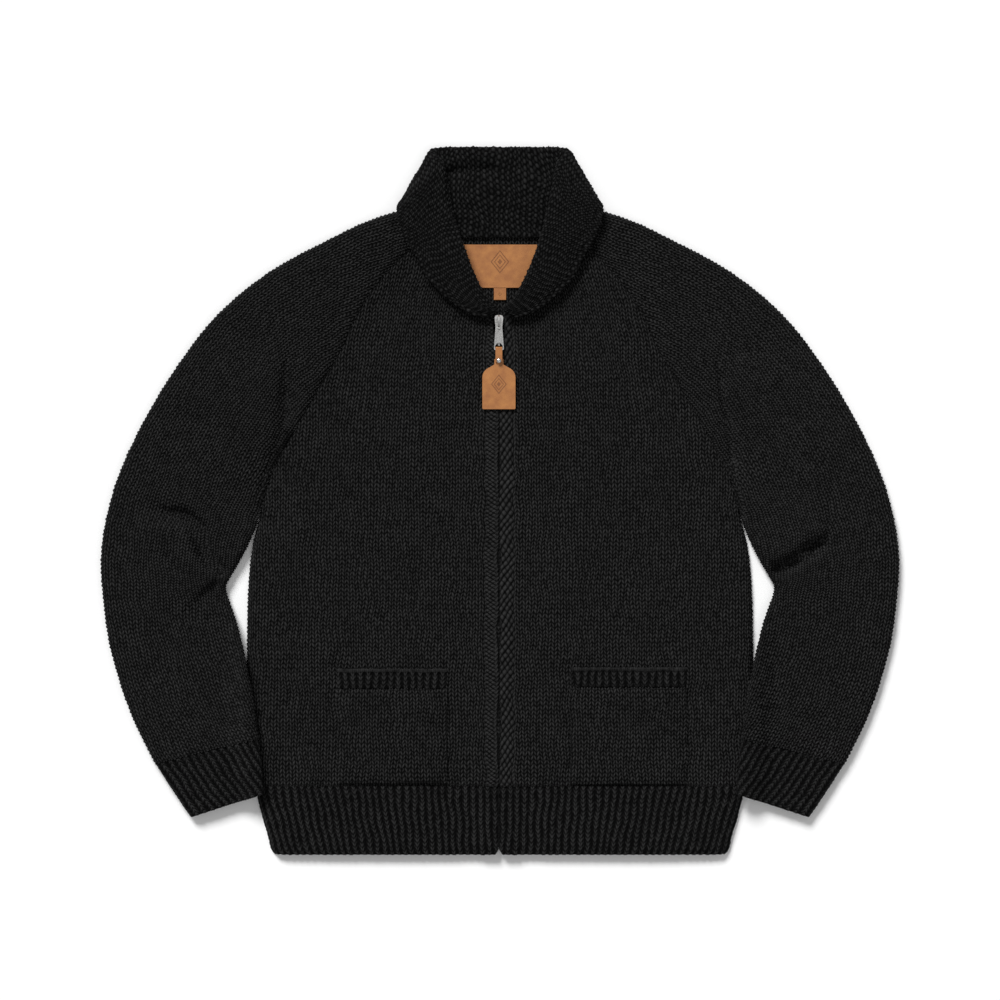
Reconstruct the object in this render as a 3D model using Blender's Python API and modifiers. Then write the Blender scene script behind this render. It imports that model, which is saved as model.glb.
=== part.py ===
"""Cowichan cardigan, knitted in bulky black wool, lying flat on its back.

Every length below is in millimetres and is turned to metres when a mesh is made.
X runs across the body, with the wearer's left at +X. Y runs from hem to collar.
Z runs up from the surface that the cardigan lies on, which is Z = 0.
"""
import math
from collections import namedtuple

import bmesh
import bpy
from mathutils import Matrix, Vector

MM = 0.001

# Cloth and seams.
KNIT_WALL = 4.5          # stockinette in six-ply wool
RIB_WALL = 4.8           # one-by-one rib
COLLAR_WALL = 5.5        # garter stitch
SEAM_GAP = 0.3           # between pieces that are sewn together
SEAM_SHIFT = 0.55        # how far each side of a raglan seam stands back from its line
LAY_GAP = 0.4            # between a piece and the panel it lies on

# Body, from side to side and from hem to neck.
CENTRE_X = -1.2          # line where the two fronts meet over the zip
HEM_BOTTOM = -389.5
HEM_TOP = -314.0
ARMPIT_Y = -8.0
FOLD_START_Y = -34.0     # below this the front wraps fully round the side
BACK_NECK_Y = 293.0
FRONT_LEVEL = 10.0       # top face of a front where it lies on the back
FRONT_LOFT = 1.4         # how far the middle of a front lifts
PLACKET_RISE = 2.9       # the fronts rise this far over the zip
PLACKET_REACH = 22.0
PART_START = 164.0       # above this the fronts part round the slider
PART_HALF = 6.0
SIDE_ROUND = 8.0         # how far in the side fold starts to turn down
FOLD_DROP = 1.4          # the side fold drops straight for the last of its height
FOLD_LOW = 0.3           # and its edge stays just clear of the surface
BACK_MARGIN = 6.6        # the back ends this far inside the side fold

# Sleeves and cuffs.
SLEEVE_LEVEL = 12.6      # top face of a sleeve
CUFF_LEVEL = 12.4
SLEEVE_ROUND = 7.0       # how far in the sleeve's long folds start to turn
FOREARM_LIFT = 11.4      # a forearm lies on the body's side margin
LIFT_REACH = 28.0

# Zip.
TAPE_WIDTH = 14.0
TAPE_WALL = 0.8
CHAIN_WIDTH = 5.4
CHAIN_BOTTOM = 6.0
CHAIN_TOP = 8.0
ZIP_FOOT = -378.0
ZIP_HEAD = 197.0
TAPE_HEAD = 184.0
SLIDER_WIDTH = 9.5
SLIDER_LENGTH = 15.0
SLIDER_HEAD = 203.0
PLATE_WALL = 1.0
SLIDER_PLATE_TOP = 9.4
BAIL_WIDTH = 1.8
PIVOT_Y = 198.5
PIVOT_Z = 12.4
PULL_TILT = math.radians(5.6)
TAB_LENGTH = 36.0
TAB_WALL = 1.5
TAB_TOP_WIDTH = 6.4
TAB_FOOT_WIDTH = 11.0
TAG_WIDTH = 36.4
TAG_FOOT = 99.5
TAG_WALL = 1.8
TAG_BOTTOM_Z = 13.3
RIVET_Y = 152.5

# Neck label.
LABEL_WIDTH = 92.0
LABEL_TOP = 280.5
LABEL_FOOT = 233.0
LABEL_WALL = 1.4
SIZE_TAB_WIDTH = 13.5
SIZE_TAB_LENGTH = 13.0

SideRow = namedtuple("SideRow", "y half_width")
BODY_SIDE = (
    SideRow(-389.5, 249.0), SideRow(-372.0, 254.5), SideRow(-344.0, 262.5), SideRow(-314.0, 269.5),
    SideRow(-265.0, 275.5), SideRow(-200.0, 278.0), SideRow(-120.0, 277.5), SideRow(-80.0, 275.5),
    SideRow(-46.0, 271.0), SideRow(-8.0, 260.5),
)
RAGLAN = (
    SideRow(-8.0, 260.5), SideRow(32.5, 248.5), SideRow(64.0, 231.5), SideRow(118.5, 200.5),
    SideRow(162.0, 175.5), SideRow(222.0, 145.0), SideRow(262.0, 112.0), SideRow(287.0, 84.0),
    SideRow(296.0, 72.0),
)
FRONT_NECK = (
    SideRow(202.0, 6.0), SideRow(209.5, 20.0), SideRow(224.0, 44.0), SideRow(246.0, 66.0),
    SideRow(268.0, 78.0), SideRow(290.0, 83.0),
)

# A row runs straight across a sleeve, from the long outer fold to the raglan seam
# or, past the armpit, to the inner fold.
SleeveRow = namedtuple("SleeveRow", "outer_x outer_y inner_x inner_y closed")
SLEEVE_ROWS = (
    SleeveRow(79.5, 325.0, 83.5, 288.0, 0), SleeveRow(115.0, 316.5, 100.5, 273.0, 0),
    SleeveRow(152.0, 303.5, 122.0, 252.0, 0), SleeveRow(189.0, 285.5, 146.5, 220.0, 0),
    SleeveRow(231.5, 263.5, 168.0, 177.0, 0), SleeveRow(273.0, 236.5, 190.0, 137.0, 0),
    SleeveRow(316.0, 197.5, 211.0, 100.0, 0), SleeveRow(350.0, 153.5, 229.0, 68.5, 0),
    SleeveRow(378.4, 109.5, 245.0, 39.0, 0), SleeveRow(402.0, 65.5, 260.5, -8.0, 0),
    SleeveRow(420.8, 21.5, 271.5, -34.0, 1), SleeveRow(433.0, -22.5, 283.0, -60.0, 1),
    SleeveRow(438.3, -66.5, 295.0, -82.0, 1), SleeveRow(435.6, -110.5, 300.5, -99.0, 1),
    SleeveRow(429.6, -154.5, 289.0, -133.0, 1), SleeveRow(418.0, -198.5, 278.5, -174.0, 1),
    SleeveRow(402.0, -242.5, 270.0, -217.0, 1), SleeveRow(378.5, -290.0, 264.5, -262.0, 1),
)
CUFF_ROWS = (
    SleeveRow(377.9, -291.0, 264.3, -263.0, 1), SleeveRow(365.0, -311.0, 261.5, -284.0, 1),
    SleeveRow(352.0, -330.5, 259.5, -305.0, 1), SleeveRow(339.5, -348.5, 258.5, -322.0, 1),
)

# The collar is a band that stands up from the neck seam, rolls over and falls back.
# Each row cuts across the band on the wearer's left, and mirrors on the right.
CollarRow = namedtuple("CollarRow", "place seam stand roll fall edge")
COLLAR_ROWS = (
    CollarRow("back", (0, 293.6, 6.2), (0, 336, 9.7), (0, 386.7, 6.6), (0, 345, 3.2), (0, 306, 3.2)),
    CollarRow("back", (40, 293.4, 6.2), (42, 336, 9.7), (43, 386.7, 6.6), (45, 345, 3.2), (47, 306, 3.2)),
    CollarRow("back side", (64, 296.5, 6.6), (64, 338, 9.8), (65, 386.0, 7.4), (71, 347, 3.4), (81, 331, 3.4)),
    CollarRow("side", (75, 318, 9.5), (75.5, 350, 11.4), (74, 381.5, 13), (93, 354, 9), (107, 328, 9.5)),
    CollarRow("shoulder", (75, 309, 13.6), (71, 330, 14.6), (64, 367, 18.5), (86, 341, 20.8), (112, 313, 19.2)),
    CollarRow("neck", (79, 293, 13.6), (68, 300.5, 14.8), (53, 318, 19), (79, 301, 21.6), (103, 287, 18.4)),
    CollarRow("neck", (80, 270, 13.6), (64, 277, 15), (45, 287, 19), (68, 278, 21.6), (91, 266.5, 17.8)),
    CollarRow("front", (67, 244, 13.6), (54, 251, 15), (36, 261, 19), (55, 251, 21.5), (76, 240, 17.6)),
    CollarRow("front", (46, 225, 13.6), (38, 231, 15), (26, 238.5, 18.8), (38, 230, 21.2), (54, 219, 17.6)),
    CollarRow("front", (27, 211, 13.6), (22, 215, 15.2), (15, 219.5, 18.4), (21, 213, 20.6), (31, 204.5, 17.8)),
    CollarRow("end", (9.5, 205.4, 14.6), (8.4, 207, 15.8), (6.2, 210, 18.6), (7.4, 206.5, 20.4), (10, 201.8, 18.6)),
)
ROLL_RADIUS = 3.4

# A crease runs through its three points. Cloth beside it lifts by the ridge height and
# sinks by the trough depth, and both fade out to its ends.
Crease = namedtuple("Crease", "side start middle end ridge trough width")
SLEEVE_CREASES = (
    Crease("right", (366, -14), (334, -30), (304, -80), 4.5, 2.2, 11.0),
    Crease("right", (240, 178), (235, 110), (250, 40), 2.0, 1.6, 14.0),
    Crease("left", (237, 178), (250, 92), (268, -20), 3.5, 2.0, 10.0),
    Crease("left", (360, -44), (335, -60), (303, -74), 4.5, 2.2, 11.0),
)

PocketPlace = namedtuple("PocketPlace", "side inner_x outer_x foot top")
POCKETS = (
    PocketPlace("right", -57.8, -178.8, -311.0, -185.0),
    PocketPlace("left", 77.5, 205.0, -312.0, -183.5),
)
POCKET_WALL = 3.6
POCKET_BAND = 22.0

BLACK_WOOL = ("black_wool", (0.012, 0.012, 0.013), 0.95, 0.0)
TAN_LEATHER = ("tan_leather", (0.42, 0.21, 0.085), 0.55, 0.0)
SILVER_METAL = ("silver_metal", (0.75, 0.75, 0.76), 0.25, 1.0)
BLACK_TAPE = ("black_tape", (0.01, 0.01, 0.011), 0.85, 0.0)


def smoothstep(value):
    value = min(1.0, max(0.0, value))
    return value * value * (3.0 - 2.0 * value)


def lerp(a, b, t):
    return a + (b - a) * t


def catmull(values, index, t):
    """One number on a smooth curve through a list of them."""
    last = len(values) - 1
    p0, p1 = values[max(index - 1, 0)], values[index]
    p2, p3 = values[min(index + 1, last)], values[min(index + 2, last)]
    return 0.5 * (2 * p1 + (p2 - p0) * t + (2 * p0 - 5 * p1 + 4 * p2 - p3) * t * t
                  + (3 * p1 - p0 - 3 * p2 + p3) * t ** 3)


def half_width_at(table, y):
    """Half width on a smooth curve through a table of (y, half_width) rows."""
    heights = [row.y for row in table]
    widths = [row.half_width for row in table]
    if y <= heights[0]:
        return widths[0]
    if y >= heights[-1]:
        return widths[-1]
    index = max(i for i in range(len(heights) - 1) if heights[i] <= y)
    t = (y - heights[index]) / (heights[index + 1] - heights[index])
    slopes = []
    for i in (index, index + 1):
        low, high = max(i - 1, 0), min(i + 1, len(heights) - 1)
        slopes.append((widths[high] - widths[low]) / (heights[high] - heights[low]))
    step = heights[index + 1] - heights[index]
    return ((2 * t ** 3 - 3 * t * t + 1) * widths[index] + (t ** 3 - 2 * t * t + t) * step * slopes[0]
            + (3 * t * t - 2 * t ** 3) * widths[index + 1] + (t ** 3 - t * t) * step * slopes[1])


def body_half_width(y):
    return half_width_at(BODY_SIDE, y) if y <= ARMPIT_Y else half_width_at(RAGLAN, y)


def crease_height(creases, x, y):
    """Sum of what the creases add at a point, for one side's own table rows."""
    total = 0.0
    for crease in creases:
        best, along, side = 1e9, 0.0, 1.0
        points = (crease.start, crease.middle, crease.end)
        for part in range(2):
            (ax, ay), (bx, by) = points[part], points[part + 1]
            dx, dy = bx - ax, by - ay
            t = min(1.0, max(0.0, ((x - ax) * dx + (y - ay) * dy) / (dx * dx + dy * dy)))
            distance = math.hypot(x - ax - dx * t, y - ay - dy * t)
            if distance < best:
                best, along = distance, (part + t) / 2.0
                side = 1.0 if dx * (y - ay) - dy * (x - ax) < 0 else -1.0
        fade = math.sin(math.pi * (0.12 + 0.76 * along)) * math.exp(-(best / crease.width / 3.0) ** 4)
        trough = math.exp(-(best / (0.45 * crease.width)) ** 2)
        ridge = math.exp(-((best - crease.width) / (0.8 * crease.width)) ** 2)
        total += fade * ((1.0 if side > 0 else 0.45) * crease.ridge * ridge - crease.trough * trough)
    return total


def front_top(x, y):
    """Height of the top face of either front, over the zip, the chest and the side."""
    edge = body_half_width(y)
    across = max(0.0, 1.0 - ((abs(x) - 0.5 * edge) / (0.5 * edge)) ** 2)
    placket = PLACKET_RISE * math.exp(-((x - CENTRE_X) / PLACKET_REACH) ** 4)
    placket *= 1.0 - smoothstep((y - TAPE_HEAD - 1.0) / 14.0)
    loft = FRONT_LOFT * (1.0 - smoothstep((y - 150.0) / 60.0))
    return FRONT_LEVEL + placket + loft * across


def material(finish):
    name, colour, roughness, metallic = finish
    if name in bpy.data.materials:
        return bpy.data.materials[name]
    made = bpy.data.materials.new(name)
    made.use_nodes = True
    shader = made.node_tree.nodes["Principled BSDF"]
    shader.inputs["Base Color"].default_value = (*colour, 1.0)
    shader.inputs["Roughness"].default_value = roughness
    shader.inputs["Metallic"].default_value = metallic
    return made


def add_object(name, mesh, finish, collection):
    mesh.materials.append(material(finish))
    made = bpy.data.objects.new(name, mesh)
    collection.objects.link(made)
    return made


def cloth_wall(name, rows, wall, finish, collection, offset=-1.0, flip=False):
    """A wall of cloth on a grid of points, as a surface with Solidify. Points that
    coincide are one vertex, so a row may close on itself or narrow to nothing."""
    mesh = bpy.data.meshes.new(name)
    work = bmesh.new()
    found = {}

    def vertex(point):
        key = tuple(round(v, 3) for v in point)
        if key not in found:
            found[key] = work.verts.new(Vector(point) * MM)
        return found[key]

    for low, high in zip(rows, rows[1:]):
        for column in range(len(low) - 1):
            corners = [vertex(p) for p in (low[column], low[column + 1], high[column + 1], high[column])]
            loop = [v for i, v in enumerate(corners) if v is not corners[i - 1]]
            if len(set(loop)) > 2:
                work.faces.new(loop[::-1] if flip else loop)
    work.to_mesh(mesh)
    work.free()
    mesh.shade_smooth()
    made = add_object(name, mesh, finish, collection)
    shell = made.modifiers.new("Wall", "SOLIDIFY")
    shell.thickness = wall * MM
    shell.offset = offset
    return made


def slab(name, outline, bottom, top, finish, collection):
    """A flat piece: an outline in X and Y, raised from bottom to top."""
    work = bmesh.new()
    face = work.faces.new([work.verts.new(Vector((x, y, bottom)) * MM) for x, y in outline])
    face.normal_update()
    if face.normal.z > 0:
        face.normal_flip()
    raised = bmesh.ops.extrude_face_region(work, geom=[face])
    lifted = [v for v in raised["geom"] if isinstance(v, bmesh.types.BMVert)]
    bmesh.ops.translate(work, verts=lifted, vec=(0, 0, (top - bottom) * MM))
    bmesh.ops.recalc_face_normals(work, faces=work.faces)
    mesh = bpy.data.meshes.new(name)
    work.to_mesh(mesh)
    work.free()
    return add_object(name, mesh, finish, collection)


def box_outline(x0, x1, y0, y1):
    return [(x0, y0), (x1, y0), (x1, y1), (x0, y1)]


def arc(cx, cy, radius, start, end, count):
    """Points on an arc, with its angles in degrees."""
    angles = [math.radians(lerp(start, end, i / count)) for i in range(count + 1)]
    return [(cx + radius * math.cos(a), cy + radius * math.sin(a)) for a in angles]


def boolean(target, cutter, operation):
    cut = target.modifiers.new(operation.title(), "BOOLEAN")
    cut.operation = operation
    cut.solver = "EXACT"
    cut.object = cutter


def spread(start, end, count):
    return [lerp(start, end, i / count) for i in range(count + 1)]


# ---------------------------------------------------------------- body and hem

def body_row(sign, y, inner_x, top_height, columns, turns=3):
    """One row across a front, from its inner edge out to the raglan seam or, below
    the armpit, over the side fold and down to the surface."""
    edge = body_half_width(y)
    wrap = smoothstep((ARMPIT_Y - y) / (ARMPIT_Y - FOLD_START_Y))
    seam_edge = edge - SEAM_SHIFT
    foot = FOLD_LOW + 1.2 * smoothstep((y + 60.0) / 26.0)
    row = []
    turn_x = edge - SIDE_ROUND
    room = turn_x - sign * CENTRE_X - inner_x
    offsets = [inner_x + step * min(1.0, room / 60.0) for step in (0.0, 9.0, 17.0)]
    offsets += spread(inner_x + 25.0 * min(1.0, room / 60.0), inner_x + room, columns)
    for offset in offsets:
        x = CENTRE_X + sign * offset
        row.append((x, y, top_height(x, y)))
    level = top_height(sign * turn_x, y)
    for step in range(1, turns + 1):
        angle = 0.5 * math.pi * step / turns
        folded = (turn_x + SIDE_ROUND * math.sin(angle), lerp(foot + FOLD_DROP, level, math.cos(angle)))
        flat = (lerp(turn_x, seam_edge, step / (turns + 1)), level)
        row.append((sign * lerp(flat[0], folded[0], wrap), y, lerp(flat[1], folded[1], wrap)))
    row.append((sign * lerp(seam_edge, edge, wrap), y, lerp(level, foot, wrap)))
    return row


def make_front(sign, side, collection):
    heights = (spread(HEM_TOP + SEAM_GAP / 2, -60.0, 8) + [FOLD_START_Y, -21.0, ARMPIT_Y]
               + spread(12.0, 164.0, 5) + [174.0, 185.0, 202.0, 209.5, 224.0, 246.0, 268.0, 281.0])
    rows = []
    for y in heights:
        inner = SEAM_GAP / 2
        if y > PART_START:
            inner = lerp(SEAM_GAP / 2, PART_HALF, smoothstep((y - PART_START) / 20.0))
        if y > FRONT_NECK[0].y:
            inner = half_width_at(FRONT_NECK, y) - sign * CENTRE_X
        rows.append(body_row(sign, y, inner, front_top, 4))
    return cloth_wall(f"front_{side}", rows, KNIT_WALL, BLACK_WOOL, collection, flip=sign < 0)


def make_hem_front(sign, side, collection):
    corner = 7.0
    rows = []
    for y in (HEM_TOP - SEAM_GAP, -330.0, -348.0, -366.0, HEM_BOTTOM + corner, -385.5, HEM_BOTTOM):
        drop = max(0.0, (HEM_BOTTOM + corner - y) / corner)
        inner = SEAM_GAP / 2 + 5.5 * (1.0 - math.sqrt(max(0.0, 1.0 - drop * drop)))
        rows.append(body_row(sign, y, inner, front_top, 4))
    return cloth_wall(f"hem_front_{side}", rows[::-1], KNIT_WALL, BLACK_WOOL, collection, flip=sign < 0)


def make_back(collection):
    """The back lies flat on the surface, inside the side folds, up to the neck."""
    rows = []
    for y in (spread(HEM_TOP + SEAM_GAP / 2, -60.0, 5) + [FOLD_START_Y, ARMPIT_Y - 2.0, ARMPIT_Y]
              + spread(20.0, 262.0, 10) + [280.0, BACK_NECK_Y]):
        wrap = 1.0 if y < ARMPIT_Y else 0.0
        half = body_half_width(y) - lerp(SEAM_SHIFT, BACK_MARGIN, wrap)
        rows.append([(x, y, 0.0) for x in spread(-half, half, 4)])
    return cloth_wall("back", rows, KNIT_WALL, BLACK_WOOL, collection, flip=True)


def make_hem_back(collection):
    rows = []
    for y in (HEM_TOP - SEAM_GAP, -344.0, -368.0, HEM_BOTTOM):
        half = body_half_width(y) - BACK_MARGIN
        rows.append([(x, y, 0.0) for x in spread(-half, half, 6)])
    return cloth_wall("hem_back", rows[::-1], KNIT_WALL, BLACK_WOOL, collection, flip=True)


# ------------------------------------------------------------ sleeves and cuffs

def forearm_lift(x, y):
    """How far a forearm's underside is lifted where it lies on the body."""
    beside = 1.0 - smoothstep((abs(x) - body_half_width(y) + 1.0) / LIFT_REACH)
    return FOREARM_LIFT * beside * smoothstep((-95.0 - y) / 60.0)


def tube_ring(row, sign, level, creases, seam_shift):
    """The outer face of a flattened tube at one row: from the top layer's inner edge
    over the outer fold to the bottom layer's inner edge."""
    outer = Vector((row.outer_x, row.outer_y))
    inner = Vector((row.inner_x + seam_shift * (1.0 - row.closed), row.inner_y))
    length = (inner - outer).length
    across = (inner - outer) / length
    turn = SLEEVE_ROUND
    ring = []

    def place(distance, height_share, bottom):
        spot = outer + across * distance
        floor = forearm_lift(spot.x, spot.y)
        near = smoothstep((length - distance) / 45.0)
        lofted = lerp(FRONT_LEVEL, level, lerp(near, 1.0, row.closed))
        height = lofted + crease_height(creases, spot.x, spot.y) * smoothstep(distance / 25.0)
        share = 0.0 if bottom else height_share
        ring.append((sign * spot.x, spot.y, floor + height * share))

    closed = row.closed
    for angle in (0, 45):
        share = 0.5 + 0.5 * math.sin(math.radians(angle))
        inset = turn * (1.0 - math.cos(math.radians(angle)))
        place(length - lerp(turn * angle / 90.0, inset, closed), lerp(1.0, share, closed), False)
    for t in spread(0.0, 1.0, 6):
        place(lerp(length - turn, turn, t), 1.0, False)
    for angle in (45, 0, -45):
        share = 0.5 + 0.5 * math.sin(math.radians(angle))
        place(turn * (1.0 - math.cos(math.radians(angle))), share, False)
    for t in spread(0.0, 1.0, 3):
        place(lerp(turn, length - turn, t), 0.0, True)
    for angle in (-45, 0):
        share = 0.5 + 0.5 * math.sin(math.radians(angle))
        inset = turn * (1.0 - math.cos(math.radians(angle)))
        place(length - lerp(turn * -angle / 90.0, inset, closed), lerp(0.0, share, closed), False)
    return ring


def smooth_rows(table, per_span):
    """Rows of a sleeve table, with more rows between them on smooth curves."""
    columns = list(zip(*table))
    made = []
    for index, count in enumerate(per_span):
        for step in range(count):
            values = [catmull(column, index, step / count) for column in columns[:4]]
            if values[3] >= ARMPIT_Y:
                values[2] = half_width_at(RAGLAN, values[3])
            made.append(SleeveRow(*values, table[index].closed if step == 0
                                  else smoothstep(lerp(table[index].closed, table[index + 1].closed, step / count))))
    made.append(table[-1])
    return made


def make_sleeve(sign, side, collection):
    creases = [crease for crease in SLEEVE_CREASES if crease.side == side]
    rows = smooth_rows(SLEEVE_ROWS, (1, 2, 2, 2, 1, 1, 1, 2, 2, 2, 2, 2, 2, 1, 1, 1, 1))
    rings = [tube_ring(row, sign, SLEEVE_LEVEL, creases, SEAM_SHIFT) for row in rows]
    return cloth_wall(f"sleeve_{side}", rings, KNIT_WALL, BLACK_WOOL, collection, flip=sign > 0)


def make_cuff(sign, side, collection):
    rings = [tube_ring(row, sign, CUFF_LEVEL, (), 0.0) for row in CUFF_ROWS]
    return cloth_wall(f"cuff_{side}", rings, RIB_WALL, BLACK_WOOL, collection, flip=sign > 0)


# -------------------------------------------------------------- collar and label

def collar_profile(seam, stand, roll, fall, edge):
    """Points across the collar band, with a round roll between stand and fall."""
    seam, stand, roll, fall, edge = (Vector(p) for p in (seam, stand, roll, fall, edge))
    along = (roll - (stand + fall) / 2.0).normalized()
    apart = fall - stand
    apart = (apart - along * apart.dot(along)).normalized()
    centre = roll - along * ROLL_RADIUS
    bend = [centre + (along * math.sin(a) - apart * math.cos(a)) * ROLL_RADIUS
            for a in (math.pi * i / 4 for i in range(5))]
    points = [seam, stand, stand.lerp(bend[0], 0.5), *bend, bend[-1].lerp(fall, 0.5), fall, edge]
    return [tuple(p) for p in points]


def make_collar(collection):
    half = []
    for index in range(len(COLLAR_ROWS) - 1):
        count = 2 if index in (1, 2, 3, 4) else 1
        for step in range(count):
            blended = []
            for column in ("seam", "stand", "roll", "fall", "edge"):
                points = [getattr(row, column) for row in COLLAR_ROWS]
                if index == 0:
                    points = points[1:2] + points
                shift = 1 if index == 0 else 0
                blended.append(tuple(catmull([p[axis] for p in points], index + shift, step / count)
                                     for axis in range(3)))
            half.append(collar_profile(*blended))
    half.append(collar_profile(*COLLAR_ROWS[-1][1:]))
    half[0] = collar_profile(*COLLAR_ROWS[0][1:])
    mirrored = [[(-x, y, z) for x, y, z in row] for row in half[:0:-1]]
    return cloth_wall("collar", mirrored + half, COLLAR_WALL, BLACK_WOOL, collection,
                      offset=0.0)


def make_label(collection):
    half = LABEL_WIDTH / 2
    bottom = KNIT_WALL + LAY_GAP
    slab("neck_label", box_outline(-half, half, LABEL_FOOT, LABEL_TOP), bottom, bottom + LABEL_WALL,
         TAN_LEATHER, collection)
    foot = LABEL_FOOT - SEAM_GAP
    slab("size_tab", box_outline(-SIZE_TAB_WIDTH / 2, SIZE_TAB_WIDTH / 2, foot - SIZE_TAB_LENGTH, foot),
         bottom, bottom + LABEL_WALL, TAN_LEATHER, collection)


# ---------------------------------------------------------------------- pockets

def make_pocket(place, collection):
    """A patch pocket and its rib band, on the front's own surface moved out."""
    inner, outer = sorted((place.inner_x, place.outer_x))
    band_foot = place.top - POCKET_BAND

    def patch(name, foot, top, steps):
        rows = [[(x, y, front_top(x, y) + LAY_GAP) for x in spread(inner, outer, 6)]
                for y in spread(foot, top, steps)]
        return cloth_wall(name, rows, POCKET_WALL, BLACK_WOOL, collection, flip=True)

    patch(f"pocket_{place.side}", place.foot, band_foot - SEAM_GAP / 2, 4)
    patch(f"pocket_band_{place.side}", band_foot + SEAM_GAP / 2, place.top, 2)


# -------------------------------------------------------------------------- zip

def make_zip(collection):
    chain_half = CHAIN_WIDTH / 2
    slab("zip_chain", box_outline(CENTRE_X - chain_half, CENTRE_X + chain_half, ZIP_FOOT, ZIP_HEAD),
         CHAIN_BOTTOM, CHAIN_TOP, SILVER_METAL, collection)
    tape_bottom = (CHAIN_BOTTOM + CHAIN_TOP - TAPE_WALL) / 2
    for sign, side in ((1, "left"), (-1, "right")):
        edges = sorted((CENTRE_X + sign * (chain_half + SEAM_GAP), CENTRE_X + sign * (chain_half + TAPE_WIDTH)))
        slab(f"zip_tape_{side}", box_outline(*edges, ZIP_FOOT, TAPE_HEAD), tape_bottom,
             tape_bottom + TAPE_WALL, BLACK_TAPE, collection)


def make_slider(collection):
    """Two plates round the chain, joined by the wedge that parts the teeth, and a bail."""
    half = SLIDER_WIDTH / 2
    foot = SLIDER_HEAD - SLIDER_LENGTH
    plate_bottom = SLIDER_PLATE_TOP - PLATE_WALL
    low_plate = CHAIN_BOTTOM - SEAM_GAP - PLATE_WALL

    def plate_outline(shrink):
        inside = half - shrink
        return ([(CENTRE_X - inside + 1.2, foot), (CENTRE_X + inside - 1.2, foot)]
                + arc(CENTRE_X + inside - 3.0, SLIDER_HEAD - 3.0, 3.0, 0, 90, 4)
                + arc(CENTRE_X - inside + 3.0, SLIDER_HEAD - 3.0, 3.0, 90, 180, 4))

    top = slab("zip_slider", plate_outline(0.0), plate_bottom, SLIDER_PLATE_TOP, SILVER_METAL, collection)
    parts = [slab("slider_low_plate", plate_outline(0.0), low_plate, low_plate + PLATE_WALL,
                  SILVER_METAL, bpy.context.scene.collection)]
    wedge = [(CENTRE_X - 1.2, ZIP_HEAD + 0.4), (CENTRE_X + 1.2, ZIP_HEAD + 0.4),
             (CENTRE_X + 2.4, SLIDER_HEAD - 0.8), (CENTRE_X - 2.4, SLIDER_HEAD - 0.8)]
    parts.append(slab("slider_wedge", wedge, low_plate + 0.5, plate_bottom + 0.5, SILVER_METAL,
                      bpy.context.scene.collection))
    bail_foot, bail_head = foot + 1.6, SLIDER_HEAD - 0.6
    crown = PIVOT_Z + 3.3
    bail = ([(bail_head, SLIDER_PLATE_TOP - 0.5), (bail_head, crown - 1.6)]
            + [(bail_head - 1.5, crown), (PIVOT_Y - 2.4, crown), (bail_foot, SLIDER_PLATE_TOP + 1.2),
               (bail_foot, SLIDER_PLATE_TOP - 0.5), (bail_foot + 1.6, SLIDER_PLATE_TOP - 0.5),
               (bail_foot + 1.6, SLIDER_PLATE_TOP + 0.7), (PIVOT_Y - 2.0, crown - 1.4),
               (bail_head - 1.4, crown - 1.4), (bail_head - 1.4, SLIDER_PLATE_TOP - 0.5)])
    work = bmesh.new()
    face = work.faces.new([work.verts.new(Vector((CENTRE_X - BAIL_WIDTH / 2, y, z)) * MM) for y, z in bail])
    raised = bmesh.ops.extrude_face_region(work, geom=[face])
    lifted = [v for v in raised["geom"] if isinstance(v, bmesh.types.BMVert)]
    bmesh.ops.translate(work, verts=lifted, vec=(BAIL_WIDTH * MM, 0, 0))
    bmesh.ops.recalc_face_normals(work, faces=work.faces)
    mesh = bpy.data.meshes.new("slider_bail")
    work.to_mesh(mesh)
    work.free()
    parts.append(add_object("slider_bail", mesh, SILVER_METAL, bpy.context.scene.collection))
    for piece in parts:
        boolean(top, piece, "UNION")
    return parts


def pull_matrix():
    """The pull's own frame: Y points from the pivot down the pull, Z is up off the cloth."""
    turn = Matrix.Rotation(math.pi, 4, "Z") @ Matrix.Rotation(PULL_TILT, 4, "X")
    return Matrix.Translation(Vector((CENTRE_X, PIVOT_Y, PIVOT_Z)) * MM) @ turn


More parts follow.
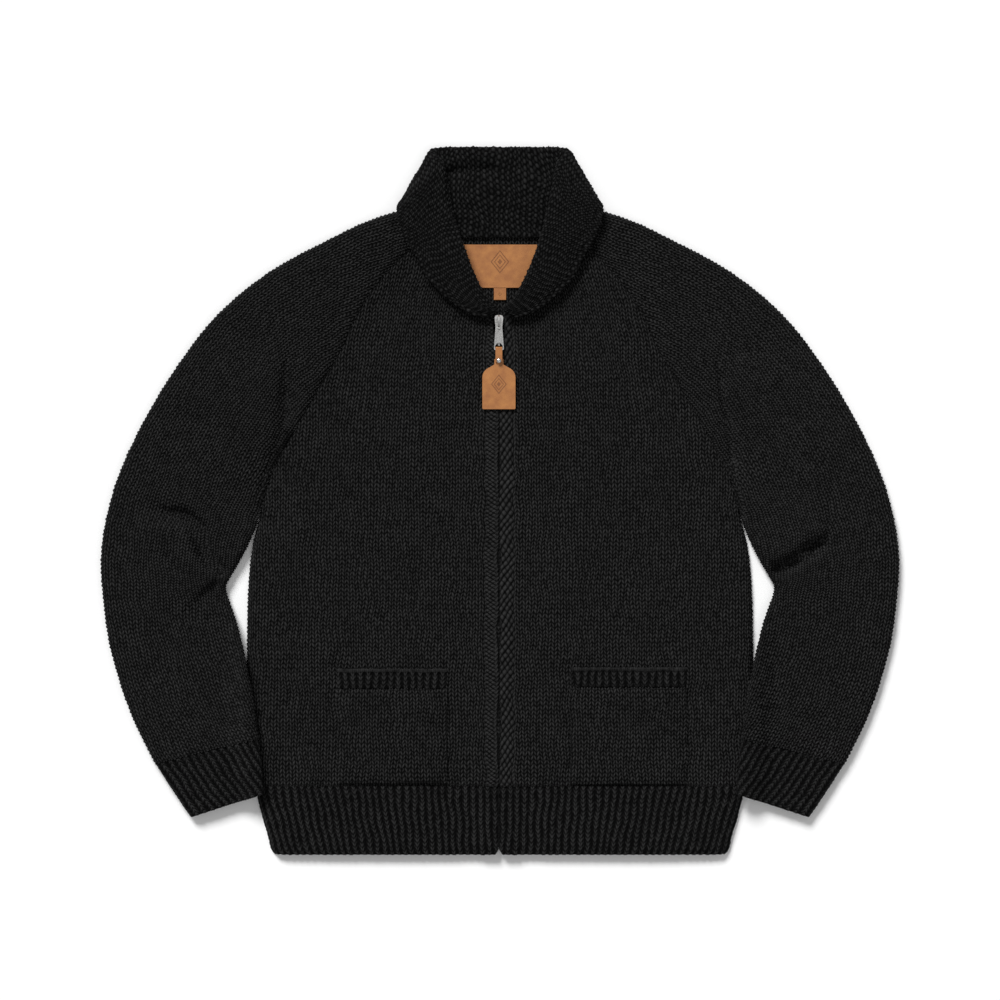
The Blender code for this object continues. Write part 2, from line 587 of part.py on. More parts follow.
def make_pull(collection):
    """The pull tab hangs on the slider's bail, with the leather tag looped through
    its slot and riveted. All three turn together about the bail's axis."""
    hinge = bpy.data.objects.new("pull_hinge", None)
    hinge.location = Vector((CENTRE_X, PIVOT_Y, PIVOT_Z)) * MM
    collection.objects.link(hinge)
    scratch = bpy.context.scene.collection

    foot = TAB_LENGTH - 1.6
    outline = (arc(0, 1.9, 3.2, 180, 360, 6)
               + [(TAB_TOP_WIDTH / 2 + 0.3, 6.0), (TAB_FOOT_WIDTH / 2, foot - 1.0),
                  (TAB_FOOT_WIDTH / 2 - 1.0, foot), (1.0 - TAB_FOOT_WIDTH / 2, foot),
                  (-TAB_FOOT_WIDTH / 2, foot - 1.0), (-TAB_TOP_WIDTH / 2 - 0.3, 6.0)])
    tab = slab("pull_tab", outline, -TAB_WALL / 2, TAB_WALL / 2, SILVER_METAL, collection)
    upper = slab("tab_upper_window", arc(0, 2.6, 1.5, 180, 360, 6) + arc(0, 11.6, 1.5, 0, 180, 6),
                 -3, 3, SILVER_METAL, scratch)
    slot_half = 4.1
    lower = slab("tab_lower_window", [(slot_half, foot - 1.9), (slot_half, foot - 4.6)]
                 + arc(0, foot - 4.6, 3.4, 0, -180, 8)[1:-1] + [(-slot_half, foot - 4.6), (-slot_half, foot - 1.9)],
                 -3, 3, SILVER_METAL, scratch)
    boolean(tab, upper, "DIFFERENCE")
    boolean(tab, lower, "DIFFERENCE")
    frame = pull_matrix()
    for piece in (tab, upper, lower):
        piece.matrix_world = frame

    bar = frame @ (Vector((0, foot - 0.95, 0)) * MM)
    bar_y, bar_z = bar.y / MM, bar.z / MM
    neck, shoulder_y, half = 5.0, 137.0, TAG_WIDTH / 2
    tag_outline = [(-half, TAG_FOOT + 1.0), (-half + 1.0, TAG_FOOT), (half - 1.0, TAG_FOOT), (half, TAG_FOOT + 1.0)]
    tag_outline += arc(half - 12.0, shoulder_y - 3.0, 12.0, 0, 68, 6)
    tag_outline += [(neck, RIVET_Y - 4.0), (neck, RIVET_Y + 2.0)]
    tag_outline += [(-x, y) for x, y in reversed(tag_outline[4:])]
    tag_outline = [(CENTRE_X + x, y) for x, y in tag_outline]
    tag = slab("pull_tag", tag_outline, TAG_BOTTOM_Z, TAG_BOTTOM_Z + TAG_WALL, TAN_LEATHER, collection)
    loop_half = 3.75
    loop_top = bar_z + TAB_WALL / 2 + LAY_GAP + 1.5
    loop_y = [RIVET_Y - 1.5, bar_y + 1.4]
    work = bmesh.new()
    side = [(loop_y[0], TAG_BOTTOM_Z + 0.1), (loop_y[1], TAG_BOTTOM_Z + 0.1), (loop_y[1] + 1.2, bar_z - 0.6),
            (loop_y[1] + 1.2, bar_z + 0.9), (loop_y[1], loop_top), (loop_y[0] + 4.0, loop_top),
            (loop_y[0], loop_top - 1.0)]
    face = work.faces.new([work.verts.new(Vector((CENTRE_X - loop_half, y, z)) * MM) for y, z in side])
    raised = bmesh.ops.extrude_face_region(work, geom=[face])
    lifted = [v for v in raised["geom"] if isinstance(v, bmesh.types.BMVert)]
    bmesh.ops.translate(work, verts=lifted, vec=(2 * loop_half * MM, 0, 0))
    bmesh.ops.recalc_face_normals(work, faces=work.faces)
    mesh = bpy.data.meshes.new("tag_loop")
    work.to_mesh(mesh)
    work.free()
    loop = add_object("tag_loop", mesh, TAN_LEATHER, scratch)
    boolean(tag, loop, "UNION")
    bar_hole = slab("bar_hole", box_outline(CENTRE_X - 8, CENTRE_X + 8, bar_y - 1.45, bar_y + 1.45),
                    bar_z - 1.15, bar_z + 1.15, TAN_LEATHER, scratch)
    rivet_hole = slab("rivet_hole", arc(CENTRE_X, RIVET_Y, 1.5, 0, 330, 11), TAG_BOTTOM_Z - 2,
                      loop_top + 2, TAN_LEATHER, scratch)
    boolean(tag, bar_hole, "DIFFERENCE")
    boolean(tag, rivet_hole, "DIFFERENCE")

    profile = [(0.0, loop_top + 1.5), (1.3, loop_top + 1.3), (2.3, loop_top + 0.8), (2.7, loop_top + SEAM_GAP),
               (1.1, loop_top + SEAM_GAP), (1.1, TAG_BOTTOM_Z + 0.3), (0.0, TAG_BOTTOM_Z + 0.3)]
    mesh = bpy.data.meshes.new("tag_rivet")
    mesh.from_pydata([(r * MM, 0, z * MM) for r, z in profile],
                     [(i, i + 1) for i in range(len(profile) - 1)], [])
    rivet = add_object("tag_rivet", mesh, SILVER_METAL, collection)
    spin = rivet.modifiers.new("Turn", "SCREW")
    spin.steps = spin.render_steps = 16
    spin.use_merge_vertices = True
    spin.merge_threshold = 0.00001
    rivet.location = Vector((CENTRE_X, RIVET_Y, 0)) * MM
    for piece in (tab, tag, rivet):
        piece.parent = hinge
        piece.matrix_parent_inverse = hinge.matrix_basis.inverted()
    return [upper, lower, loop, bar_hole, rivet_hole]


def build():
    for old in list(bpy.data.objects):
        bpy.data.objects.remove(old, do_unlink=True)
    cardigan = bpy.data.collections.new("cowichan_cardigan")
    cutters = bpy.data.collections.new("cutters")
    for made in (cardigan, cutters):
        bpy.context.scene.collection.children.link(made)

    make_back(cardigan)
    make_hem_back(cardigan)
    for sign, side in ((1, "left"), (-1, "right")):
        make_front(sign, side, cardigan)
        make_hem_front(sign, side, cardigan)
        make_sleeve(sign, side, cardigan)
        make_cuff(sign, side, cardigan)
    make_collar(cardigan)
    make_label(cardigan)
    for place in POCKETS:
        make_pocket(place, cardigan)
    make_zip(cardigan)
    helpers = make_slider(cardigan) + make_pull(cardigan)
    for helper in helpers:
        for owner in list(helper.users_collection):
            owner.objects.unlink(helper)
        cutters.objects.link(helper)
        helper.hide_render = True
        helper.display_type = "WIRE"


build()
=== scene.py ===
import math
from functools import partial

import bmesh
import bpy
import numpy as np
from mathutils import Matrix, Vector, geometry


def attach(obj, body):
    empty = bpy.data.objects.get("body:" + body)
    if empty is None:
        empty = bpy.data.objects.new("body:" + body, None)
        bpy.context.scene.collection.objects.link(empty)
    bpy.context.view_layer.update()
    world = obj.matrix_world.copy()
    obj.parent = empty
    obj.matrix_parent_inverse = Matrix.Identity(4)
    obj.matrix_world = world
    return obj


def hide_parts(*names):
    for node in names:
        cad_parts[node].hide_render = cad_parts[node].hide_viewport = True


# A cowichan cardigan, hand knitted in bulky black wool and laid flat on its back.
# Lengths are in millimetres until a mesh is made. X is across the body, with the
# wearer's left at +X, Y runs from hem to collar and Z up off the floor.

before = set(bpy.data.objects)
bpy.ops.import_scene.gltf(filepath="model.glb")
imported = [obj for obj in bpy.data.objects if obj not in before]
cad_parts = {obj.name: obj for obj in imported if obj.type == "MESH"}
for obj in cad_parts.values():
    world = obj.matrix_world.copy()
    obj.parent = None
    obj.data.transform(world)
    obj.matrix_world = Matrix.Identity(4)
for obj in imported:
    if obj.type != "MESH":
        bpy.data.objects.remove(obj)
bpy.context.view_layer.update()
mm = 0.001

garment = {
    "centreX": -1.2,        # where the fronts meet over the zip
    "hemBottom": -389.5,
    "hemTop": -314.0,
    "armpitY": -8.0,
    "foldStartY": -34.0,    # below this the fronts wrap round the side
    "backNeckY": 293.0,
    "frontLevel": 10.0,     # top face of a front lying on the back
    "frontLoft": 1.4,
    "placketRise": 2.9,     # how far the fronts rise over the zip
    "placketReach": 22.0,
    "sideRound": 8.0,
    "backMargin": 6.6,      # the back ends this far inside the side fold
    "seamShift": -0.3,      # sewn edges bed into each other by this much
    "knitWall": 4.5,
    "ribWall": 4.8,
    "leastTop": 5.8,        # how low a crease takes a front, or a sleeve above the armpit
    "underside": 1.9,       # the lowest cloth's face, just clear of the floor
    "seamGap": 0.3,
}
aboveHem = garment["hemTop"] - garment["seamGap"]    # where the cloth above the rib starts
ribTop = garment["hemTop"] + garment["seamGap"]
sidesOfBody = ((1, "left"), (-1, "right"))
# Outlines in rows of (y, distance from the middle).
bodySide = ((-389.5, 247.0), (-385.0, 251.0), (-372.0, 254.5), (-344.0, 262.5), (-314.0, 269.5),
            (-265.0, 275.5), (-200.0, 278.0), (-120.0, 277.5), (-80.0, 275.5), (-46.0, 271.0), (-8.0, 260.5))
raglan = ((-8.0, 260.5), (32.5, 248.5), (64.0, 231.5), (118.5, 200.5), (162.0, 175.5),
          (222.0, 145.0), (262.0, 112.0), (287.0, 84.0), (296.0, 72.0))
frontNeck = ((202.0, 6.0), (209.5, 20.0), (224.0, 44.0), (246.0, 66.0), (268.0, 78.0), (290.0, 83.0))


def smooth(value):
    value = np.clip(value, 0.0, 1.0)
    return value * value * (3.0 - 2.0 * value)


def mix(a, b, share):
    return a + (b - a) * share


def bump(distance, width):
    return np.exp(-(distance / width) ** 2)


def keptAbove(height, least):
    # A soft lower bound, so that a deep crease doesn't press through what lies beneath.
    softness = 0.8
    return least + softness * np.logaddexp((height - least) / softness, 0.0)


def curveAt(rows, y):
    # Half width on a smooth curve through rows of (y, half width).
    heights, widths = np.array(rows, float).T
    y = np.clip(y, heights[0], heights[-1])
    low = np.maximum(np.arange(len(heights)) - 1, 0)
    high = np.minimum(np.arange(len(heights)) + 1, len(heights) - 1)
    slope = (widths[high] - widths[low]) / (heights[high] - heights[low])
    i = np.clip(np.searchsorted(heights, y, side="right") - 1, 0, len(heights) - 2)
    step = heights[i + 1] - heights[i]
    t = (y - heights[i]) / step
    return ((2 * t ** 3 - 3 * t * t + 1) * widths[i] + (t ** 3 - 2 * t * t + t) * step * slope[i]
            + (3 * t * t - 2 * t ** 3) * widths[i + 1] + (t ** 3 - t * t) * step * slope[i + 1])


def throughPoints(points, perSpan):
    # Many points on a smooth curve through a few.
    points = np.array(points, float)
    padded = np.vstack([points[:1], points, points[-1:]])
    made = []
    for i in range(len(points) - 1):
        p0, p1, p2, p3 = padded[i:i + 4]
        for t in np.arange(perSpan) / perSpan:
            made.append(0.5 * (2 * p1 + (p2 - p0) * t + (2 * p0 - 5 * p1 + 4 * p2 - p3) * t * t
                               + (3 * p1 - p0 - 3 * p2 + p3) * t ** 3))
    return np.array(made + [points[-1]])


def bodyHalfWidth(y):
    return np.where(y <= garment["armpitY"], curveAt(bodySide, y), curveAt(raglan, y))


def wander(x, y, size, seed):
    # Soft unevenness from -1 to 1, from a few waves that don't line up.
    total = 0.0
    for i in range(5):
        angle = 2.4 * i + 0.7 * seed
        pitch = size * (0.7 + 0.23 * i)
        run = x * math.cos(angle) + y * math.sin(angle)
        total = total + np.sin(run * 2 * math.pi / pitch + 1.9 * i * seed)
    return total / 3.2


def linear(hexText):
    # A colour written as sRGB hex, as linear light.
    parts = [int(hexText[i:i + 2], 16) / 255 for i in (1, 3, 5)]
    return tuple(c / 12.92 if c <= 0.04045 else ((c + 0.055) / 1.055) ** 2.4 for c in parts) + (1.0,)


def add(tree, kind, links=(), **settings):
    # Adds one node with its settings, and links or sets its inputs. A bare word such as
    # SINE is a math node's operation, and a node given as an input stands for its first output.
    if kind.isupper():
        kind, settings["operation"] = "ShaderNodeMath", kind
    node = tree.nodes.new(kind)
    for key, value in settings.items():
        setattr(node, key, value)
    for socket, value in (links.items() if isinstance(links, dict) else enumerate(links)):
        value = value.outputs[0] if isinstance(value, bpy.types.Node) else value
        if isinstance(value, bpy.types.NodeSocket):
            tree.links.new(value, node.inputs[socket])
        elif value is not None:
            node.inputs[socket].default_value = value
    return node


def addSockets(tree, labels):
    # Gives a tree its named inputs, each with its kind, and a geometry in and out.
    labels = [("Geometry", "Geometry")] + labels
    for label, kind in labels:
        tree.interface.new_socket(label, in_out="INPUT", socket_type="NodeSocket" + kind)
    tree.interface.new_socket("Geometry", in_out="OUTPUT", socket_type="NodeSocketGeometry")


def newMaterial(name, **values):
    # A material with some of its shader's own values. Returns it with its tree and shader.
    made = bpy.data.materials.new(name)
    made.use_nodes = True
    shader = made.node_tree.nodes["Principled BSDF"]
    for socket, value in values.items():
        shader.inputs[socket.replace("_", " ")].default_value = value
    return made, made.node_tree, shader


def intoScene(name, data):
    made = bpy.data.objects.new(name, data)
    bpy.context.scene.collection.objects.link(made)
    return made


# A course is one knitted row, a wale one column of stitches. Wander is how far, in
# stitches, the hand-knitted rows and columns stray, and odd how far single legs differ.
gauge = {
    "stockinette": {"wale": 6.4, "course": 4.6, "chevron": 0.9, "depth": 2.3, "perWale": 4, "perCourse": 2,
                    "wander": 0.5, "odd": 0.4},
    "rib": {"wale": 8.2, "course": 4.8, "chevron": 0.7, "depth": 2.4, "perWale": 6, "perCourse": 2,
            "wander": 0.3, "odd": 0.35},
    "garter": {"wale": 4.0, "course": 6.2, "chevron": 0.0, "depth": 2.2, "perWale": 3, "perCourse": 4,
               "wander": 0.9, "odd": 0.45, "tone": 0.7},
}
# Beside the zip each front is edged with a band of its own: where it starts and ends,
# in millimetres from the zip, how many courses a knot of it spans, and the plain chain
# of stitches beside it.
gauge["left front"] = dict(gauge["stockinette"], band=(0.6, 15.8), knot=2.0, chain=(16.6, 19.0))
gauge["right front"] = dict(gauge["stockinette"], band=(4.2, 14.5), knot=1.0, chain=(0.5, 3.6))
# A pocket's ribbed band ends in a cast-off row: where along the band that starts.
gauge["left pocket band"] = dict(gauge["rib"], castOff=-187.2)
gauge["right pocket band"] = dict(gauge["rib"], castOff=-188.7)


def stitchHeight(tree, kind, lay):
    # Height of the knitted face from 0 to 1, worked out the same way for the mesh and for
    # the fine bump. Lay is (across the wales, along the courses) in millimetres.
    put = partial(add, tree)
    size = gauge[kind]
    parts = put("ShaderNodeSeparateXYZ", [lay]).outputs
    across = put("DIVIDE", [parts[0], size["wale"]])
    along = put("DIVIDE", [parts[1], size["course"]])
    full = 2 * math.pi
    isRib = "rib" in kind or "castOff" in size
    slant = size["chevron"] * (3.2 if isRib else 2.0)
    aside = put("ABSOLUTE", [put("SUBTRACT", [put("FRACT", [across]), 0.5])])
    phase = put("SUBTRACT", [along, put("MULTIPLY", [aside, slant])])
    # Each leg of each stitch is a little fuller or thinner than the next.
    cell = put("ShaderNodeCombineXYZ", [put("FLOOR", [put("MULTIPLY", [across, 2.0])]),
                                              put("FLOOR", [put("ADD", [phase, 0.5])])])
    chance = put("ShaderNodeTexWhiteNoise", {"Vector": cell})
    chance = put("MULTIPLY_ADD", [chance, size["odd"], 1.0 - size["odd"]])
    if kind == "garter":
        # A ridge is a row of purl bumps curving down, with the row that curves up set
        # half a stitch across between it and the next.
        slanted = put("MULTIPLY_ADD", [along, 0.3, across])
        rows = []
        for shift, low, share in ((0.0, 0.0, 1.0), (0.5, 0.46, 0.55)):
            wide = put("COSINE", [put("MULTIPLY", [put("ADD", [slanted, shift]), full])])
            tall = put("COSINE", [put("MULTIPLY", [put("ADD", [along, low]), full])])
            wide = put("POWER", [put("MULTIPLY_ADD", [wide, 0.5, 0.5]), 0.45])
            tall = put("POWER", [put("MULTIPLY_ADD", [tall, 0.5, 0.5]), 1.1])
            rows.append(put("MULTIPLY", [put("MULTIPLY", [wide, tall]), share]))
        return put("MULTIPLY", [put("MAXIMUM", rows), chance])
    strand = put("COSINE", [put("MULTIPLY", [phase, full])])
    strand = put("MULTIPLY_ADD", [strand, 0.5, 0.5])
    turned = put("MULTIPLY", [aside, full])
    if not isRib:
        # Two legs to a stitch, slanting in to a V.
        leg = put("POWER", [put("MAXIMUM", [put("SINE", [turned]), 0.0]), 0.7])
        leg = put("MULTIPLY", [leg, chance])
        leg = put("MULTIPLY", [leg, put("MULTIPLY_ADD", [strand, 0.66, 0.34])])
        if "band" not in size:
            return leg
        crossed = []
        for way in (1.0, -1.0):
            turn = put("MULTIPLY_ADD", [across, way, put("DIVIDE", [along, size["knot"]])])
            turn = put("MULTIPLY", [turn, math.pi])
            crossed.append(put("ABSOLUTE", [put("SINE", [turn])]))
        knots = put("MULTIPLY", [put("MULTIPLY_ADD", [crossed[0], 0.75, 0.25]), crossed[1]])
        knots = put("MULTIPLY_ADD", [put("MULTIPLY", [knots, chance]), 0.95, 0.12])
        inBand = put("MULTIPLY", [put("GREATER_THAN", [parts[0], size["band"][0]]),
                                        put("LESS_THAN", [parts[0], size["band"][1]])])
        rest = put("MULTIPLY", [leg, put("SUBTRACT", [1.0, inBand])])
        inChain = put("MULTIPLY", [put("GREATER_THAN", [parts[0], size["chain"][0]]),
                                         put("LESS_THAN", [parts[0], size["chain"][1]])])
        chain = put("MULTIPLY", [put("MULTIPLY_ADD", [strand, 0.34, 0.36]), inChain])
        return put("MAXIMUM", [put("MULTIPLY_ADD", [knots, inBand, rest]), chain])
    # In the rib the knit column stands up on two legs and the purl column lies back.
    column = put("MULTIPLY_ADD", [put("COSINE", [turned]), 0.36, 0.64])
    legs = put("ABSOLUTE", [put("SINE", [put("MULTIPLY", [turned, 2.0])])])
    legs = put("MULTIPLY_ADD", [legs, 0.4, 0.6])
    column = put("MULTIPLY", [put("MULTIPLY", [column, legs]), chance])
    column = put("MULTIPLY", [column, put("MULTIPLY_ADD", [strand, 0.6, 0.4])])
    if "castOff" not in size:
        return column
    inRow = put("GREATER_THAN", [parts[1], size["castOff"]])
    row = put("MULTIPLY_ADD", [put("MULTIPLY", [legs, chance]), 0.6, 0.08])
    row = put("MULTIPLY", [row, inRow])
    return put("MAXIMUM", [row, put("MULTIPLY", [column, put("SUBTRACT", [1.0, inRow])])])


def reliefTree(kind):
    # Geometry nodes that raise the stitches of one knitted face off a smooth one.
    tree = bpy.data.node_groups.new(kind + " stitches", "GeometryNodeTree")
    put = partial(add, tree)
    addSockets(tree, [("Depth", "Float"), ("Uneven", "Float"), ("Seed", "Float"), ("Yarn", "Material")])
    given = put("NodeGroupInput").outputs
    lay = put("GeometryNodeInputNamedAttribute", {0: "knit"}, data_type="FLOAT_VECTOR")
    amount = put("ShaderNodeSeparateXYZ", [lay]).outputs[2]
    noise = put("ShaderNodeTexNoise", {"Vector": lay, "W": given["Seed"], "Scale": 0.11, "Detail": 1.0},
                noise_dimensions="4D")
    off = put("MULTIPLY", [put("SUBTRACT", [noise, 0.5]), given["Uneven"]])
    height = put("SUBTRACT", [put("ADD", [stitchHeight(tree, kind, lay), off]), 0.5])
    height = put("MULTIPLY", [put("MULTIPLY", [height, amount]), given["Depth"]])
    normal = put("GeometryNodeInputNormal")
    lift = put("ShaderNodeVectorMath", {0: normal, "Scale": height}, operation="SCALE")
    moved = put("GeometryNodeSetPosition", {"Geometry": given["Geometry"], "Offset": lift})
    real = put("GeometryNodeRealizeInstances", [moved])
    dyed = put("GeometryNodeSetMaterial", {"Geometry": real, "Material": given["Yarn"]})
    put("NodeGroupOutput", [dyed])
    return tree


def throughNodes(piece, tree, values):
    # Runs a piece through a node tree once and keeps the plain mesh.
    modifier = piece.modifiers.new("nodes", "NODES")
    modifier.node_group = tree
    for item in tree.interface.items_tree:
        if item.in_out == "INPUT" and item.name in values:
            modifier[item.identifier] = values[item.name]
    ready = piece.evaluated_get(bpy.context.evaluated_depsgraph_get())
    mesh = bpy.data.meshes.new_from_object(ready)
    piece.modifiers.remove(modifier)
    piece.data = mesh
    return piece


def knitSheet(name, kind, surface, ends, sides, wall, probe, up=1, warp=None, isClosed=None,
              bothSides=False, insideGrid=None):
    # A knitted sheet as a thin shell. Its outer face is a grid that follows the stitches,
    # cut along the sheet's outline, its rim turns in by the wall, and the side that
    # doesn't show is a coarse net. The rim has small open gaps where the wandering rows
    # were cut. Surface turns lay coordinates (u across the
    # wales, v along the courses) to a point. Returns the object and its flat size.
    size = gauge[kind]
    stepU, stepV = size["wale"] / size["perWale"], size["course"] / size["perCourse"]
    vLow, vHigh = ends
    uLow, uHigh = sides(np.linspace(vLow, vHigh, 400))
    columns = np.arange(math.floor(uLow.min() / stepU) - 8, math.ceil(uHigh.max() / stepU) + 9) * stepU
    rows = np.arange(math.floor(vLow / stepV) - 3, math.ceil(vHigh / stepV) + 3) * stepV
    w, c = np.meshgrid(columns, rows)
    # The grid's rows follow the slant of the stitches, but run straight at the sides.
    level = np.clip(c, vLow, vHigh)
    strayed = w + 0.5 * size["wander"] * size["wale"] * wander(w, level, 46.0, 3)
    u = strayed if warp is None else warp(strayed, level)
    low, high = sides(level)
    aside = np.abs((w / size["wale"]) % 1.0 - 0.5)
    inward = np.clip(np.minimum(u - low, high - u) / size["wale"] - 0.3, 0.0, 1.0)
    knitC = c + size["chevron"] * size["course"] * 2.0 * aside * inward
    c = knitC + 0.5 * size["wander"] * size["course"] * wander(w, c, 38.0, 5) * inward
    mask = np.where(c < vLow, 1, 0) | np.where(c > vHigh, 2, 0)
    v = np.clip(c, vLow, vHigh)
    u = strayed if warp is None else warp(strayed, v)
    low, high = sides(v)
    mask = mask | np.where(u < low, 4, 0) | np.where(u > high, 8, 0)
    u = np.clip(u, low, high)
    # Points that fell on one place are one vertex, and faces that lost their area go.
    perMm = 200
    keys = np.stack([np.round(u.ravel() * perMm), np.round(v.ravel() * perMm)], 1).astype(np.int64)
    _, first, index = np.unique(keys, axis=0, return_index=True, return_inverse=True)
    index = index.reshape(u.shape)
    corners = np.stack([index[:-1, :-1], index[:-1, 1:], index[1:, 1:], index[1:, :-1]], -1).reshape(-1, 4)
    masks = mask[:-1, :-1] & mask[:-1, 1:] & mask[1:, 1:] & mask[1:, :-1]
    pu, pv = u.ravel()[first], v.ravel()[first]
    cu, cv = pu[corners], pv[corners]
    area = 0.5 * ((cu[:, 2] - cu[:, 0]) * (cv[:, 3] - cv[:, 1])
                  - (cu[:, 3] - cu[:, 1]) * (cv[:, 2] - cv[:, 0]))
    corners = corners[(masks.ravel() == 0) & (area > 1e-4)]
    used, corners = np.unique(corners, return_inverse=True)
    corners = corners.reshape(-1, 4)
    pu, pv, knitU, knitV = pu[used], pv[used], w.ravel()[first][used], knitC.ravel()[first][used]
    faces = []
    for quad in corners.tolist():
        loop = [p for i, p in enumerate(quad) if p != quad[i - 1]]
        if len(set(loop)) == len(loop) > 2:
            faces.append(loop)
    flatArea = float(area[area > 0].sum())

    def shape(a, b):
        point = np.stack(surface(a, b), -1)
        e = 0.4
        du = np.stack(surface(a + e, b), -1) - np.stack(surface(a - e, b), -1)
        dv = np.stack(surface(a, b + e), -1) - np.stack(surface(a, b - e), -1)
        normal = np.cross(du, dv)
        return point, normal / np.maximum(np.linalg.norm(normal, axis=-1, keepdims=True), 1e-9)

    probeNormal = shape(np.array([probe[0]], float), np.array([probe[1]], float))[1][0]
    flip = probeNormal[2] * up < 0
    point, normal = shape(pu, pv)
    normal = -normal if flip else normal
    edges = {(loop[i - 1], p): True for loop in faces for i, p in enumerate(loop)}
    rim = [(a, b) for a, b in edges if (b, a) not in edges]
    outerCount = len(pu)
    amount = np.ones(outerCount)
    places = [point]
    layU, layV, amounts = [knitU], [knitV], [amount]
    if bothSides:
        places = [point + normal * wall / 2, point - normal * wall / 2]
        layU, layV, amounts = [knitU, knitU], [knitV, knitV + 0.5 * size["course"]], [amount, amount]
        inner = {i: i + outerCount for i in range(outerCount)}
        backs = [[inner[p] for p in loop[::-1]] for loop in faces]
    else:
        ring = sorted({p for edge in rim for p in edge})
        number = {p: i for i, p in enumerate(ring)}
        coarse, marginU, marginV = 19.0, 6, 5
        gu, gv = np.meshgrid(np.arange(uLow.min(), uHigh.max(), coarse), np.arange(vLow, vHigh, coarse))
        gu, gv = gu.ravel(), gv.ravel()
        lowSide, highSide = sides(gv)
        keep = ((gu > lowSide + marginU) & (gu < highSide - marginU)
                & (gv > vLow + marginV) & (gv < vHigh - marginV))
        gu, gv = gu[keep], gv[keep]
        fineFrom = len(ring) + len(gu)
        if insideGrid is not None:
            gu, gv = np.concatenate([gu, insideGrid[0]]), np.concatenate([gv, insideGrid[1]])
        flat = [Vector((float(a), float(b))) for a, b in zip(np.concatenate([pu[ring], gu]),
                                                             np.concatenate([pv[ring], gv]))]
        made = geometry.delaunay_2d_cdt(flat, [(number[a], number[b]) for a, b in rim], [], 1, 1e-4)
        spots = np.array([tuple(p) for p in made[0]])
        source = [min(o) if len(o) else -1 for o in made[3]]
        innerPoint, innerNormal = shape(spots[:, 0], spots[:, 1])
        innerNormal = -innerNormal if flip else innerNormal
        places.append(innerPoint - innerNormal * wall)
        layU.append(spots[:, 0])
        layV.append(spots[:, 1])
        amounts.append(np.array([0.7 if s >= fineFrom else 0.0 for s in source]))
        inner = {ring[s]: outerCount + i for i, sources in enumerate(made[3])
                 for s in sources if s < len(ring)}
        backs = [[outerCount + p for p in loop] for loop in made[2]]
        turns = [np.linalg.det([spots[b] - spots[a], spots[c] - spots[a]]) for a, b, c, *more in made[2][:50]]
        if sum(turns) > 0:
            backs = [loop[::-1] for loop in backs]
    closed = np.zeros(outerCount, bool) if isClosed is None else isClosed(pu, pv)
    walls = []
    for a, b in rim:
        if not (closed[a] and closed[b]) and inner[a] != inner[b]:
            walls.append([b, a, inner[a], inner[b]])
    everything = faces + backs + walls
    if flip:
        everything = [loop[::-1] for loop in everything]
    mesh = bpy.data.meshes.new(name)
    mesh.from_pydata((np.concatenate(places) * mm).tolist(), [], everything)
    lay = mesh.attributes.new("knit", "FLOAT_VECTOR", "POINT")
    lay.data.foreach_set("vector", np.stack([np.concatenate(layU), np.concatenate(layV),
                                             np.concatenate(amounts)], 1).astype(np.float32).ravel())
    work = bmesh.new()
    work.from_mesh(mesh)
    bmesh.ops.remove_doubles(work, verts=work.verts, dist=0.02 * mm)
    bmesh.ops.dissolve_degenerate(work, edges=work.edges, dist=0.01 * mm)
    loose = [v for v in work.verts if not v.link_faces]
    bmesh.ops.delete(work, geom=loose, context="VERTS")
    work.to_mesh(mesh)
    work.free()
    mesh.shade_smooth()
    piece = intoScene(name + "_knit", mesh)
    flatSize = (float((uHigh - uLow).max()) * mm, (vHigh - vLow) * mm)
    values = {"Depth": size["depth"] * mm, "Uneven": 0.35, "Seed": 7.0, "Yarn": yarn[kind]}
    throughNodes(piece, relief[kind], values)
    return piece, flatSize, min(flatArea * mm * mm, flatSize[0] * flatSize[1])


def finishKnit(made, nodes):
    piece, flatSize, flatArea = made
    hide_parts(*nodes)
    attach(piece, "garment")
    print("knitted", piece.name, len(piece.data.polygons), "faces")


# The first colour is painted shade for the valleys between the strands, and the second is the strand's own
# grey.
wool = {"paintedGrooveShade": "#010101", "strand": "#2F2F2F", "bloom": 0.02, "haze": "#C8C8CC", "fuzz": 0.35}


